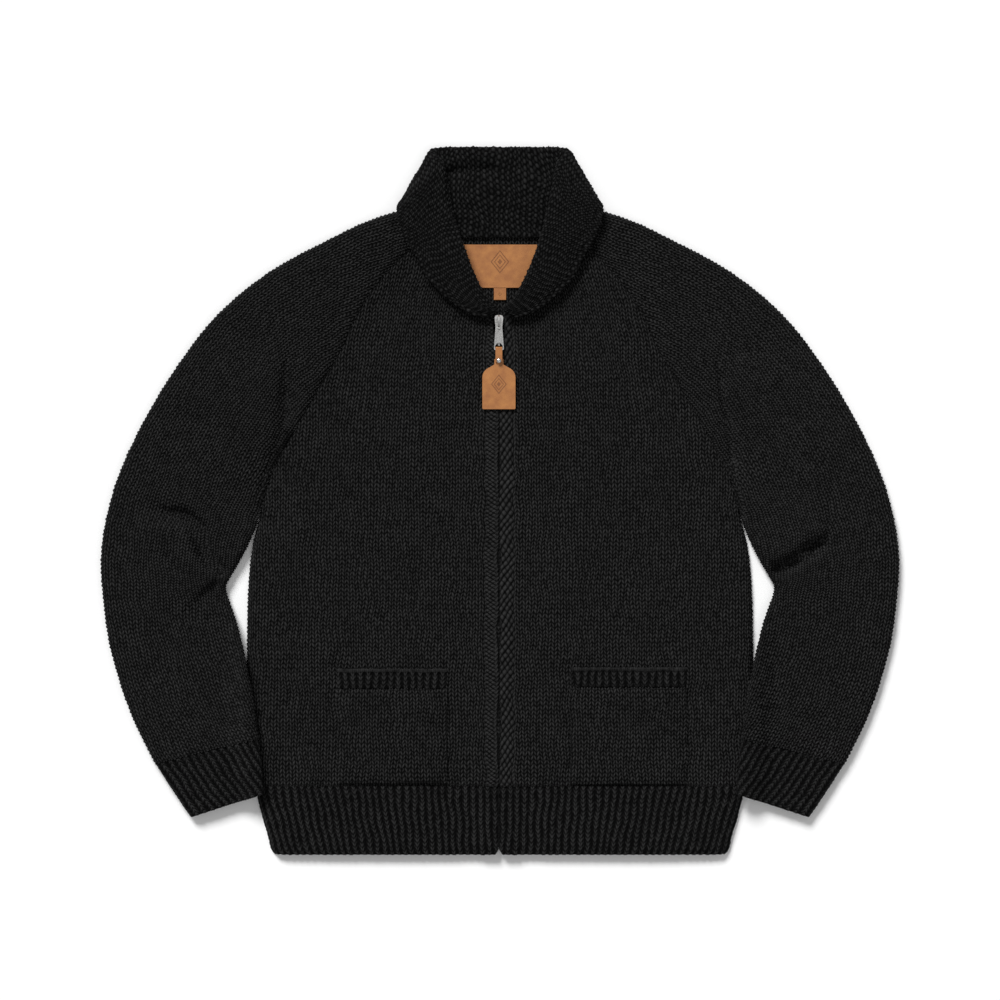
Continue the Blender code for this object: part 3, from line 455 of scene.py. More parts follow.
def woolMaterial(kind):
    # Six-ply wool, spun thick and hand knitted, dyed black. Matt, with a soft bloom of
    # loose fibre. The colour has painted shade down between the strands.
    made, tree, shader = newMaterial(
        "black bulky wool, matt, " + kind, Roughness=0.92, Specular_IOR_Level=0.08,
        Sheen_Weight=wool["bloom"], Sheen_Roughness=0.5, Sheen_Tint=linear(wool["haze"]))
    put = partial(add, tree)
    size = gauge[kind]
    lay = put("ShaderNodeAttribute", attribute_name="knit").outputs["Vector"]
    height = stitchHeight(tree, kind, lay)
    place = put("ShaderNodeTexCoord").outputs["Object"]
    fibre = put("ShaderNodeTexNoise", {"Vector": place, "Scale": 1100.0, "Detail": 3.0})
    plies = put("ShaderNodeTexNoise", {"Vector": place, "Scale": 260.0, "Detail": 2.0})
    tone = put("ShaderNodeTexNoise", {"Vector": place, "Scale": 40.0, "Detail": 3.0})
    loose = put("MULTIPLY_ADD", [fibre, wool["fuzz"], put("MULTIPLY", [plies, 0.5])])
    # Painted shade: the base colour is darkest where the stitch height is low, in the valleys between the
    # legs, and lightest on the raised legs. Fibre and ply noise add the yarn's own tone.
    shade = put("ADD", [height, put("SUBTRACT", [loose, 0.42])])
    ramp = put("ShaderNodeValToRGB", [shade])
    for stop, share, colour in zip(ramp.color_ramp.elements, (0.2, 0.78), ("paintedGrooveShade", "strand")):
        stop.position, stop.color = share, linear(wool[colour])
    change = put("ShaderNodeMapRange", {0: tone, 1: 0.3, 2: 0.7, 3: 0.92, 4: 1.08})
    change = put("MULTIPLY", [change, size.get("tone", 1.0)])
    tinted = put("ShaderNodeHueSaturation", {"Color": ramp, "Value": change})
    tree.links.new(tinted.outputs[0], shader.inputs["Base Color"])
    raised = put("ShaderNodeBump", {"Height": put("MULTIPLY_ADD", [loose, 0.4, height]),
                                          "Strength": 0.9, "Distance": 1.2 * mm})
    tree.links.new(raised.outputs[0], shader.inputs["Normal"])
    return made


yarn = {kind: woolMaterial(kind) for kind in gauge}
relief = {kind: reliefTree(kind) for kind in gauge}
print("materials and stitch trees made")


def foldLift(folds, x, y):
    # What the listed folds add to the height. A fold runs along its points with a
    # steep ridge on its left, a lower one (a share of it) on its right and a narrow
    # trough on the line, fading out over a share of its length at both ends.
    def one(points, ridge, trough, width, crease, farRidge=0.3, fadeIn=0.25, fadeOut=0.25):
        line = throughPoints(points, 8)
        best = np.full(x.shape, 1e9)
        signed, along = np.zeros_like(x), np.zeros_like(x)
        for i in range(len(line) - 1):
            (ax, ay), (bx, by) = line[i], line[i + 1]
            dx, dy = bx - ax, by - ay
            t = np.clip(((x - ax) * dx + (y - ay) * dy) / (dx * dx + dy * dy), 0.0, 1.0)
            distance = np.hypot(x - ax - dx * t, y - ay - dy * t)
            near = distance < best
            side = np.sign(dx * (y - ay) - dy * (x - ax))
            signed = np.where(near, distance * side, signed)
            along = np.where(near, (i + t) / (len(line) - 1), along)
            best = np.where(near, distance, best)
        fade = smooth(along / fadeIn) * smooth((1.0 - along) / fadeOut)
        reach = np.maximum(signed, 0.0) / width
        far = np.maximum(-signed, 0.0) / width
        shape = reach * np.exp(1.0 - reach) + farRidge * far * np.exp(1.0 - far)
        return fade * (ridge * shape - trough * bump(signed, crease))

    return sum((one(*fold) for fold in folds), np.zeros_like(x))


pockets = {
    -1: {"inner": 56.6, "outer": 177.6, "foot": -311.0, "top": -185.0},
    1: {"inner": 78.7, "outer": 206.2, "foot": -312.0, "top": -183.5},
}
front = {"tagHalfWidth": 19.5, "tagFoot": 93.0, "tagSink": 1.6, "top": 281.0, "zipSide": -0.25,
         "seamRidge": {1: 0.8, -1: 1.7}, "edgeRidge": {1: 0.2, -1: 1.2}, "holeDepth": 3.2, "holeReach": 2.8,
         "foldArc": 13.9}    # once round the side fold

# Small holes beside the raglan seam where stitches were knitted together.
decreases = {1: ((163.5, 184.0), (175.5, 168.0), (196.0, 130.0), (204.0, 121.0)), -1: ()}
# Rows of foldLift's values: points, ridge, trough, width, crease, farRidge, fadeIn, fadeOut.
frontFolds = {
    1: (
        (((246, 120), (238, 60), (246, 0), (258, -60)), 1.4, 0.8, 16, 8),
        (((150, 60), (168, -20), (170, -120)), 0.7, 0.5, 24, 14),
    ),
    -1: (
        (((240, 110), (236, 50), (246, -10), (256, -70)), 1.2, 0.8, 16, 8),
        (((140, 80), (158, 0), (150, -110)), 0.7, 0.5, 24, 14),
    ),
}


def frontPlain(x, y):
    # The front's height over the zip, the chest and the side, before its folds.
    edge = bodyHalfWidth(y)
    across = np.maximum(0.0, 1.0 - ((np.abs(x) - 0.5 * edge) / (0.5 * edge)) ** 2)
    placket = garment["placketRise"] * np.exp(-((x - garment["centreX"]) / garment["placketReach"]) ** 4)
    placket = placket * (1.0 - smooth((y - 185.0) / 14.0))
    loft = garment["frontLoft"] * (1.0 - smooth((y - 150.0) / 60.0))
    return garment["frontLevel"] + placket + loft * across


def frontTop(x, y, sign):
    edge = bodyHalfWidth(y)
    fromSeam = np.maximum(0.0, edge - np.abs(x))
    above = smooth((y - garment["armpitY"]) / 20.0)
    deep = smooth((130.0 - y) / 100.0)
    seam = (-(2.4 + 3.4 * deep) * bump(fromSeam, 3.4 + 3.0 * deep) * above
            + front["seamRidge"][sign] * bump(fromSeam - 6.5, 3.0) * above)
    for holeX, holeY in decreases[sign]:
        seam = seam - front["holeDepth"] * bump(np.hypot(np.abs(x) - holeX, y - holeY), front["holeReach"])
    fromZip = np.abs(x - garment["centreX"])
    edgeRoll = -2.4 * bump(fromZip, 1.1) + front["edgeRidge"][sign] * bump(fromZip - 2.2, 1.6)
    edgeRoll = edgeRoll - 0.8 * bump(fromZip - 15.4, 1.5) + 0.6 * bump(fromZip - 18.0, 1.5)
    # The cloth gives under the leather tag and under the collar's weight.
    pressed = smooth((front["tagHalfWidth"] + 4.0 - fromZip) / 4.0) * smooth((y - front["tagFoot"]) / 5.0)
    edgeRoll = edgeRoll * (1.0 - 0.8 * pressed) - front["tagSink"] * pressed
    fromHem = np.abs(y - garment["hemTop"])
    place = pockets[sign]
    underPocket = smooth((np.abs(x) - place["inner"]) / 6.0) * smooth((place["outer"] - np.abs(x)) / 6.0)
    hemSeam = -(0.4 + 1.4 * underPocket) * bump(fromHem, 2.6)
    swell = 0.5 * wander(x * sign, y * 0.5, 120.0, 2 + sign)
    folds = foldLift(frontFolds[sign], np.abs(x), y)
    return keptAbove(frontPlain(x, y) + seam + edgeRoll + hemSeam + swell * smooth(fromSeam / 30.0)
                     + folds * smooth(fromSeam / 20.0), garment["leastTop"])


def frontSurface(sign, top):
    def surface(u, v):
        edge = bodyHalfWidth(v)
        turn = edge - garment["sideRound"]
        wrap = smooth((garment["armpitY"] - v) / (garment["armpitY"] - garment["foldStartY"]))
        uTurn = turn - sign * garment["centreX"]
        flatX = garment["centreX"] + sign * np.minimum(u, uTurn)
        level = top(flatX, v, sign)
        room = mix(garment["sideRound"] - garment["seamShift"], front["foldArc"], wrap)
        share = (u - uTurn) / room
        angle = np.clip(share, 0.0, 1.2) * math.pi / 2
        foot = 1.6 + 0.6 * smooth((v + 60.0) / 26.0)
        past = share > 0
        foldedX = turn + garment["sideRound"] * np.sin(angle)
        foldedZ = foot + (level - foot) * np.cos(angle)
        flatSide = turn + share * (garment["sideRound"] - garment["seamShift"])
        x = np.where(past, sign * mix(flatSide, foldedX, wrap), flatX)
        z = np.where(past, mix(level, foldedZ, wrap), level)
        return x, v, z
    return surface


def frontSides(sign):
    start = front["zipSide"]

    def sides(v):
        wrap = smooth((garment["armpitY"] - v) / (garment["armpitY"] - garment["foldStartY"]))
        low = np.full(v.shape, start)
        low = np.where(v > 164.0, mix(start, 6.0, smooth((v - 164.0) / 20.0)), low)
        low = np.where(v > frontNeck[0][0], curveAt(frontNeck, v) - sign * garment["centreX"], low)
        high = (bodyHalfWidth(v) - garment["sideRound"] - sign * garment["centreX"]
                + mix(garment["sideRound"] - garment["seamShift"], front["foldArc"], wrap))
        return low, np.maximum(high, low + 0.2)
    return sides


def frontWarp(sign):
    # Near the raglan the columns lean in towards the neck.
    def warp(w, c):
        high = np.clip(c, 0.0, 300.0)
        lean = 0.00042 * high ** 2
        edge = np.maximum(bodyHalfWidth(np.minimum(c, front["top"])), 60.0)
        return w - lean * smooth(w / edge) + 0.5 * wander(w, c, 70.0, 5 + sign)
    return warp


for sign, side in sidesOfBody:
    made = knitSheet("front_" + side, side + " front", frontSurface(sign, frontTop),
                     (aboveHem, front["top"]), frontSides(sign),
                     garment["knitWall"], (120.0, 0.0), warp=frontWarp(sign))
    finishKnit(made, ["front_" + side])


notch = 11.0    # height of the gap that the corners leave at the hem's middle


def hemTopHeight(x, y, sign):
    # Rib draws in a little at its seam and swells below it.
    fromHem = np.abs(y - garment["hemTop"])
    fromZip = np.abs(x - garment["centreX"])
    return (frontPlain(x, y) - 0.7 * bump(fromHem, 2.6) - 1.2 * bump(fromZip, 2.0)
            - 1.2 * bump(y - garment["hemBottom"], 4.0) + 0.3 * wander(x, y, 90.0, 3))


def hemSides(sign):
    # The two fronts' lower corners round off beside the zip.
    plain = frontSides(sign)

    def sides(v):
        low, high = plain(v)
        drop = np.clip((garment["hemBottom"] + notch - v) / notch, 0.0, 1.0)
        return low + 5.6 * (1.0 - np.sqrt(1.0 - drop * drop)), high
    return sides


def hemWarp(w, c):
    # The ribs slant in towards the bottom, as the hem draws in.
    height = np.clip(c, garment["hemBottom"], garment["hemTop"])
    return w * bodyHalfWidth(height) / dict(bodySide)[garment["hemTop"]]


for sign, side in sidesOfBody:
    made = knitSheet("hem_front_" + side, "rib", frontSurface(sign, hemTopHeight),
                     (garment["hemBottom"], ribTop), hemSides(sign), garment["ribWall"],
                     (120.0, -350.0), warp=hemWarp)
    finishKnit(made, ["hem_front_" + side])


def backSurface(u, v):
    # The back lies with its outer face down, just clear of the floor.
    return u, v, np.full(u.shape, garment["underside"])


def backSides(v):
    half = bodyHalfWidth(v) - np.where(v < garment["armpitY"], garment["backMargin"], garment["seamShift"])
    return -half, half


def insideStitches():
    # The inside of the back shows below the collar, as a fine grid of its own.
    u, v = np.meshgrid(np.arange(-76.0, 76.1, 1.6), np.arange(188.0, 291.0, 2.0))
    keep = v < 290.5
    aside = 0.03    # off the coarse net's points
    return u[keep] + aside, v[keep] + aside


made = knitSheet("back", "stockinette", backSurface, (aboveHem, garment["backNeckY"]),
                 backSides, garment["knitWall"] - 1.9, (0.0, 0.0), up=-1, insideGrid=insideStitches())
finishKnit(made, ["back"])
made = knitSheet("hem_back", "rib", backSurface, (garment["hemBottom"] + notch, ribTop),
                 backSides, garment["ribWall"] - 2.2, (0.0, -350.0), up=-1, warp=hemWarp)
finishKnit(made, ["hem_back"])


# Each row runs straight across a sleeve from its long outer fold to the raglan or,
# past the armpit, to its inner fold: outer x, outer y, inner x, inner y, closed.
sleeveRows = ((79.5, 325.0, 83.5, 288.0, 0), (115.0, 316.5, 100.5, 273.0, 0),
              (152.0, 303.5, 122.0, 252.0, 0), (189.0, 285.5, 146.5, 220.0, 0),
              (231.5, 263.5, 168.0, 177.0, 0), (273.0, 236.5, 190.0, 137.0, 0),
              (316.0, 197.5, 211.0, 100.0, 0), (350.0, 153.5, 229.0, 68.5, 0), (378.4, 109.5, 245.0, 39.0, 0),
              (402.0, 65.5, 260.5, -8.0, 0), (420.8, 21.5, 269.5, -34.0, 1), (433.0, -22.5, 281.5, -60.0, 1),
              (438.3, -66.5, 294.0, -82.0, 1), (435.6, -110.5, 300.8, -99.0, 1),
              (429.6, -154.5, 289.0, -133.0, 1), (418.0, -198.5, 278.5, -174.0, 1),
              (402.0, -242.5, 270.0, -217.0, 1), (378.5, -290.0, 264.5, -262.0, 1))
cuffRows = ((378.3, -289.7, 264.4, -261.9, 1), (365.0, -311.0, 261.5, -284.0, 1),
            (352.0, -330.5, 259.5, -305.0, 1), (339.5, -348.5, 258.5, -322.0, 1))
sleeve = {"level": 12.6, "cuffLevel": 12.4, "round": 7.0, "lift": 11.4, "liftReach": 28.0}
sleeveFolds = {
    -1: (
        (((385, -2), (366, -15), (345, -20), (331, -33), (325, -58), (303, -84)),
         7.2, 8.4, 13, 6.6, 0.2, 0.3, 0.06),
        (((232, 178), (235, 120), (234, 84), (252, 21)), 2.6, 3.0, 14, 7),
        (((384, 8), (360, -14), (336, -28), (318, -60), (302, -90)), 2.0, 4.2, 26, 14, 0.3, 0.3, 0.15),
        (((226, 150), (238, 96), (250, 40), (262, -6)), 1.2, 3.2, 30, 16),
        (((372, -60), (352, -78), (322, -92)), 1.4, 1.2, 12, 8),
        (((400, 90), (352, 92), (300, 70)), 0.9, 0.7, 22, 14),
        (((330, 190), (262, 170), (214, 148)), 0.8, 0.7, 20, 14),
    ),
    1: (
        (((237, 178), (245, 118), (251, 90), (258, 35), (268, -26)), 3.2, 4.6, 10, 4.0, 0.8, 0.25, 0.12),
        (((297, -78), (320, -69), (337, -57), (348, -49), (362, -47)), 7.0, 7.4, 12, 5.8, 0.6, 0.08),
        (((296, -84), (320, -72), (344, -52), (368, -44)), 2.0, 3.8, 26, 14),
        (((226, 150), (240, 96), (252, 40), (264, -6)), 1.2, 3.2, 30, 16),
        (((372, -84), (352, -76), (330, -84)), 1.2, 1.4, 12, 8),
        (((400, 80), (356, 96), (306, 88)), 0.9, 0.7, 22, 14),
        (((336, 176), (270, 164), (220, 150)), 0.8, 0.7, 20, 14),
    ),
}


def tubeOf(rows, sign, level, folds):
    # A flattened tube with its round outer fold at u = 0, its top layer at +u and its
    # underside at -u. Returns its surface, its sides and its length.
    fine = throughPoints(rows, 24)
    outer, innerEdge = fine[:, 0:2].copy(), fine[:, 2:4].copy()
    closed = np.clip(fine[:, 4], 0.0, 1.0)
    isRaglan = innerEdge[:, 1] >= garment["armpitY"]
    if isRaglan.any():
        innerEdge[isRaglan, 0] = curveAt(raglan, innerEdge[isRaglan, 1]) + garment["seamShift"]
    run = np.concatenate([[0.0], np.cumsum(np.hypot(*np.diff(outer, axis=0).T))])
    turn = sleeve["round"]
    arc = math.pi / 2 * 0.5 * (turn + level / 2)

    def at(v):
        values = [np.interp(v, run, column) for column in (*outer.T, *innerEdge.T, closed)]
        length = np.hypot(values[2] - values[0], values[3] - values[1])
        return values, length

    def halfGirth(v):
        values, length = at(v)
        return arc + (length - 2 * turn) + mix(turn, arc, values[4])

    def surface(u, v):
        # Past either end the tube runs on straight, so that its last row has a slope.
        inside = np.clip(v, 0.0, run[-1])
        (ox, oy, ix, iy, shut), length = at(inside)
        t = np.abs(u)
        ax, ay = (ix - ox) / length, (iy - oy) / length
        mid = length - 2 * turn
        last = mix(turn, arc, shut)
        early = np.clip(t / arc, 0.0, 1.0) * math.pi / 2
        late = np.clip((t - arc - mid) / last, 0.0, 1.3)
        distance = turn * (1 - np.cos(early)) + np.clip(t - arc, 0.0, mid)
        distance = distance + mix(turn * late, turn * np.sin(late * math.pi / 2), shut) * (t > arc + mid)
        share = np.sin(early) * mix(1.0, np.where(t > arc + mid, np.cos(late * math.pi / 2), 1.0), shut)
        share = 0.5 + 0.5 * np.sign(u) * share
        x, y = ox + ax * distance, oy + ay * distance
        beyond = v - inside
        y = y - beyond
        beside = 1.0 - smooth((x - bodyHalfWidth(y) + 1.0) / sleeve["liftReach"])
        floor = sleeve["lift"] * beside * smooth((-95.0 - y) / 60.0)
        near = smooth((length - distance) / 45.0)
        height = mix(garment["frontLevel"], level, mix(near, 1.0, shut))
        away = smooth(distance / 25.0)
        height = height + foldLift(folds, x, y) * away
        height = height + 0.5 * wander(x, y, 110.0, 4 + sign) * away * smooth((length - distance) / 25.0)
        deep = smooth((130.0 - y) / 100.0)
        seam = -(2.2 + 3.4 * deep) * bump(length - distance, 4.0 + 3.0 * deep) * (1 - shut) * (share > 0.9)
        top = mix(keptAbove(height + seam, garment["leastTop"]), height, shut)
        z = mix(floor + garment["underside"], floor + top, share)
        return sign * x, y, z

    def sides(v):
        half = halfGirth(v)
        return -half, half

    def isClosed(u, v):
        half = halfGirth(v)
        return (np.abs(np.abs(u) - half) < 0.05) & (at(v)[0][4] > 0.995)

    return surface, sides, isClosed, float(run[-1])


for sign, side in sidesOfBody:
    surface, sides, isClosed, length = tubeOf(sleeveRows, sign, sleeve["level"], sleeveFolds[sign])
    made = knitSheet("sleeve_" + side, "stockinette", surface, (0.0, length), sides,
                     garment["knitWall"] - 0.4, (70.0, 300.0), isClosed=isClosed)
    finishKnit(made, ["sleeve_" + side])
    surface, sides, isClosed, length = tubeOf(cuffRows, sign, sleeve["cuffLevel"], ())
    made = knitSheet("cuff_" + side, "rib", surface, (0.0, length), sides, garment["ribWall"] - 0.6,
                     (60.0, 30.0), isClosed=isClosed)
    finishKnit(made, ["cuff_" + side])


pocket = {"rise": 3.5, "wall": 2.2, "band": 22.0, "halfGap": 0.15}


def pocketSurface(place, sign):
    # A patch pocket lies on the front and its sewn edges sink into it.
    def surface(u, v):
        x = garment["centreX"] + sign * u
        fromSide = np.minimum(u - place["inner"], place["outer"] - u)
        fromFoot = v - place["foot"]
        sunk = 2.2 * bump(np.maximum(fromSide, 0.0), 8.0) + 1.6 * bump(np.maximum(fromFoot, 0.0), 6.0)
        fromBand = np.abs(v - (place["top"] - pocket["band"]))
        groove = 1.3 * bump(fromBand, 2.6)
        lip = 0.9 * bump(place["top"] - v - 1.6, 1.8) - 0.7 * bump(place["top"] - v - 5.0, 1.6)
        z = frontPlain(x, v) + pocket["rise"] - np.minimum(sunk, 2.2) - groove + lip
        return x, v, z
    return surface


for sign, side in sidesOfBody:
    place = pockets[sign]
    seam = place["top"] - pocket["band"]

    def pocketSides(v):
        return np.full(v.shape, place["inner"]), np.full(v.shape, place["outer"])

    made = knitSheet("pocket_" + side, "stockinette", pocketSurface(place, sign),
                     (place["foot"], seam - pocket["halfGap"]), pocketSides, pocket["wall"], (120.0, -250.0))
    finishKnit(made, ["pocket_" + side])
    made = knitSheet("pocket_band_" + side, side + " pocket band", pocketSurface(place, sign),
                     (seam + pocket["halfGap"], place["top"]), pocketSides, pocket["wall"], (120.0, -195.0))
    finishKnit(made, ["pocket_band_" + side])


# The collar stands up from the neck seam, rolls over and falls back. Each row cuts
# across it on the wearer's left: seam, stand, roll, fall and outer edge.
collarRows = (
    ((0, 288.5, 5.9), (0, 336, 9.7), (0, 386.7, 6.6), (0, 345, 3.2), (0, 306, 3.2)),
    ((40, 288.3, 5.9), (42, 336, 9.7), (43, 386.7, 6.6), (45, 345, 3.2), (47, 306, 3.2)),
    ((64, 291.5, 6.4), (64, 338, 9.8), (65, 386.0, 7.4), (71, 347, 3.4), (81, 331, 3.4)),
    ((75, 318, 9.5), (75.5, 350, 11.4), (74, 381.5, 13), (93, 354, 9), (107, 328, 9.5)),
    ((75, 309, 13.6), (71, 330, 14.6), (64, 367, 18.5), (86, 341, 20.8), (112, 313, 19.2)),
    ((79, 293, 13.6), (68, 300.5, 14.8), (53, 318, 19), (79, 301, 21.6), (103, 287, 18.4)),
    ((80, 270, 13.6), (64, 277, 15), (45, 287, 19), (68, 278, 21.6), (91, 266.5, 17.8)),
    ((67, 244, 13.6), (54, 251, 15), (36, 261, 19), (55, 251, 21.5), (76, 240, 17.6)),
    ((46, 225, 13.6), (38, 231, 15), (26, 238.5, 18.8), (38, 230, 21.2), (54, 219, 17.6)),
    ((27, 211, 13.6), (22, 215, 15.2), (15, 219.5, 18.4), (21, 213, 20.6), (31, 204.5, 17.8)),
    ((8.5, 205.4, 14.6), (7.0, 207, 15.8), (4.2, 210, 18.6), (5.4, 206.0, 20.0), (7.6, 201.2, 18.4)),
)
collar = {"wall": 3.6, "roll": 3.2, "width": 118.0, "steps": 80}


def collarNet():
    # Cross sections of the band all the way round, with the same count of points.
    rows = np.array(collarRows, float)
    left = np.stack([throughPoints(rows[:, k], 10) for k in range(5)], 1)
    right = left[:0:-1].copy()
    right[:, :, 0] *= -1
    net = []
    for seam, stand, roll, fall, edge in np.concatenate([right, left]):
        along = roll - (stand + fall) / 2
        along = along / np.linalg.norm(along)
        apart = fall - stand
        apart = apart - along * apart.dot(along)
        apart = apart / np.linalg.norm(apart)
        centre = roll - along * collar["roll"]
        bend = [centre + (along * math.sin(a) - apart * math.cos(a)) * collar["roll"]
                for a in np.linspace(0, math.pi, 7)]
        line = throughPoints([seam, mix(seam, stand, 0.5), stand, mix(stand, bend[0], 0.5)] + bend
                             + [mix(bend[-1], fall, 0.5), fall, mix(fall, edge, 0.5), edge], 4)
        far = np.concatenate([[0.0], np.cumsum(np.linalg.norm(np.diff(line, axis=0), axis=1))])
        even = np.linspace(0, far[-1], collar["steps"] + 1)
        net.append(np.stack([np.interp(even, far, line[:, k]) for k in range(3)], 1))
    return np.array(net)


net = collarNet()
middle = net[:, collar["steps"] // 2]
along = np.concatenate([[0.0], np.cumsum(np.linalg.norm(np.diff(middle, axis=0), axis=1))])


def collarSurface(u, v):
    row = np.interp(v, along, np.arange(len(along)))
    column = np.clip(u / collar["width"], 0.0, 1.0) * collar["steps"]
    i = np.minimum(row.astype(int), len(along) - 2)
    j = np.minimum(column.astype(int), collar["steps"] - 1)
    fi, fj = (row - i)[..., None], (column - j)[..., None]
    point = (net[i, j] * (1 - fi) * (1 - fj) + net[i + 1, j] * fi * (1 - fj)
             + net[i, j + 1] * (1 - fi) * fj + net[i + 1, j + 1] * fi * fj)
    # The outer edge rolls, and on the wearer's right the stand sinks beside the roll.
    fromEdge = collar["width"] - u
    lift = 0.9 * bump(fromEdge - 2.2, 2.0) - 1.3 * bump(fromEdge - 6.6, 1.8)
    onRight = smooth(-point[..., 0] / 12.0) * smooth((378.0 - point[..., 1]) / 20.0)
    lift = lift - (0.8 + 5.4 * onRight) * bump(u - 48.0, 5.0) + 1.0 * onRight * bump(u - 58.0, 5.0)
    lift = lift + 1.1 * bump(u - 2.0, 1.6)
    over = 3.0 * onRight * bump(u - 59.0, 7.0)
    return point[..., 0] + over, point[..., 1], point[..., 2] + lift


def collarSides(v):
    return np.zeros(v.shape), np.full(v.shape, collar["width"])


made = knitSheet("collar", "garter", collarSurface, (0.0, float(along[-1])), collarSides, collar["wall"],
                 (90.0, float(along[-1]) * 0.8), bothSides=True)
finishKnit(made, ["collar"])


leatherLook = {"dark": "#9A6134", "light": "#B3773F", "burnt": "#6E4020", "border": 1.7, "groove": 0.35}


def leatherMaterial(name, node, markSize, markPlace):
    # Vegetable-tanned cowhide, cut from the sheet: fine pores, a waxy low sheen, and a
    # plain diamond pressed in with a warm iron. The mark is placed as a share of the
    # piece's height, and it leaves out the words and emblem of the real one.
    spots = np.array([tuple(v.co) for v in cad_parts[node].data.vertices])
    low, high = spots.min(0), spots.max(0)
    made, tree, shader = newMaterial(name, Roughness=0.55)
    put = partial(add, tree)
    place = put("ShaderNodeTexCoord").outputs["Object"]
    cloud = put("ShaderNodeTexNoise", {"Vector": place, "Scale": 120.0, "Detail": 4.0})
    ramp = put("ShaderNodeValToRGB", [cloud])
    for stop, share, colour in zip(ramp.color_ramp.elements, (0.3, 0.7), ("dark", "light")):
        stop.position, stop.color = share, linear(leatherLook[colour])
    parts = put("ShaderNodeSeparateXYZ", [place]).outputs
    middle = float(low[0] + high[0]) / 2, float(mix(low[1], high[1], markPlace))
    wide = put("ABSOLUTE", [put("SUBTRACT", [parts[0], middle[0]])])
    tall = put("ABSOLUTE", [put("SUBTRACT", [parts[1], middle[1]])])
    span = put("DIVIDE", [put("MULTIPLY_ADD", [wide, 1.25, tall]), markSize * mm])
    outer = put("LESS_THAN", [put("ABSOLUTE", [put("SUBTRACT", [span, 1.0])]), 0.07])
    inner = put("LESS_THAN", [put("ABSOLUTE", [put("SUBTRACT", [span, 0.62])]), 0.06])
    heart = put("LESS_THAN", [span, 0.26])
    mark = put("MAXIMUM", [put("MAXIMUM", [outer, inner]), heart])
    burnt = put("ShaderNodeMix", {0: put("MULTIPLY", [mark, 0.75]), 6: ramp.outputs[0],
                                        7: linear(leatherLook["burnt"])}, data_type="RGBA")
    tree.links.new(burnt.outputs[2], shader.inputs["Base Color"])
    pores = put("ShaderNodeTexVoronoi", {"Vector": place, "Scale": 1400.0})
    grain = put("SUBTRACT", [put("MULTIPLY", [pores, 0.25]), mark])
    raised = put("ShaderNodeBump", {"Height": grain, "Strength": 0.6, "Distance": 0.2 * mm})
    tree.links.new(raised.outputs[0], shader.inputs["Normal"])
    return made


def plateMaterial():
    # Zinc casting, polished and nickel plated: bright, with fine rubbing marks.
    made, tree, shader = newMaterial("nickel-plated zinc", Base_Color=linear("#D9D8D6"), Metallic=1.0)
    put = partial(add, tree)
    place = put("ShaderNodeTexCoord").outputs["Object"]
    marks = put("ShaderNodeTexNoise", {"Vector": place, "Scale": 800.0, "Detail": 3.0}).outputs[0]
    rough = put("ShaderNodeMapRange", {0: marks, 1: 0.3, 2: 0.7, 3: 0.16, 4: 0.34})
    tree.links.new(rough.outputs[0], shader.inputs["Roughness"])
    return made


def tapeMaterial():
    # Polyester zip tape, woven in a fine herringbone and dyed black.
    made, tree, shader = newMaterial("black woven polyester tape", Base_Color=linear("#141415"),
                                     Roughness=0.8)
    put = partial(add, tree)
    place = put("ShaderNodeTexCoord").outputs["Object"]
    threads = put("ShaderNodeTexWave", {"Vector": place, "Scale": 400.0, "Distortion": 0.5}).outputs[1]
    raised = put("ShaderNodeBump", {"Height": threads, "Strength": 0.4, "Distance": 0.2 * mm})
    tree.links.new(raised.outputs[0], shader.inputs["Normal"])
    return made


plate, tape = plateMaterial(), tapeMaterial()


def refined(node, material, body, bevel, border=False):
    # A hard or stiff piece's own solid with its corners worn round, and with a line
    # creased into its face along the edge if it has a border.
    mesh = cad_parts[node].data.copy()
    work = bmesh.new()
    work.from_mesh(mesh)
    bmesh.ops.remove_doubles(work, verts=work.verts, dist=0.002 * mm)
    bmesh.ops.dissolve_limit(work, angle_limit=math.radians(1.0), verts=work.verts, edges=work.edges)
    sharp = [e for e in work.edges if e.is_manifold and e.calc_face_angle() > math.radians(40)]
    bmesh.ops.bevel(work, geom=sharp, offset=bevel * mm, segments=2, profile=0.5, affect="EDGES",
                    clamp_overlap=True)
    if border:
        face = max((f for f in work.faces if f.normal.z > 0.7), key=lambda f: f.calc_area())
        for thickness, depth in ((leatherLook["border"], 0.0), (leatherLook["groove"], -0.22),
                                 (leatherLook["groove"], 0.22)):
            bmesh.ops.inset_region(work, faces=[face], thickness=thickness * mm, depth=depth * mm,
                                   use_even_offset=True)
    work.to_mesh(mesh)
    work.free()
    mesh.materials.clear()
    mesh.materials.append(material)
    mesh.shade_smooth()
    piece = intoScene(node + "_finished", mesh)
    piece.modifiers.new("facing", "WEIGHTED_NORMAL").weight = 100
    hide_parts(node)
    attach(piece, body)
    return piece


labelHide = leatherMaterial("tan veg-tanned leather, neck label", "neck_label", 12.0, 0.6)
tabHide = leatherMaterial("tan veg-tanned leather, size tab", "size_tab", 2.6, 0.5)
tagHide = leatherMaterial("tan veg-tanned leather, pull tag", "pull_tag", 10.0, 0.4)
refined("neck_label", labelHide, "garment", 0.3, border=True)
refined("size_tab", tabHide, "garment", 0.3)
refined("pull_tag", tagHide, "pull", 0.3)
refined("pull_tab", plate, "pull", 0.25)
refined("zip_slider", plate, "garment", 0.25)
refined("tag_rivet", plate, "pull", 0.15)
for node in ("zip_tape_left", "zip_tape_right"):
    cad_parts[node].data.materials.clear()
    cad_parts[node].data.materials.append(tape)
print("leather, slider and tapes finished")

zipTeeth = {"start": -377.4, "end": 195.6, "pitch": 1.5, "length": 3.6, "wide": 1.0, "thick": 1.7,
            "shift": 0.75, "level": 7.0}


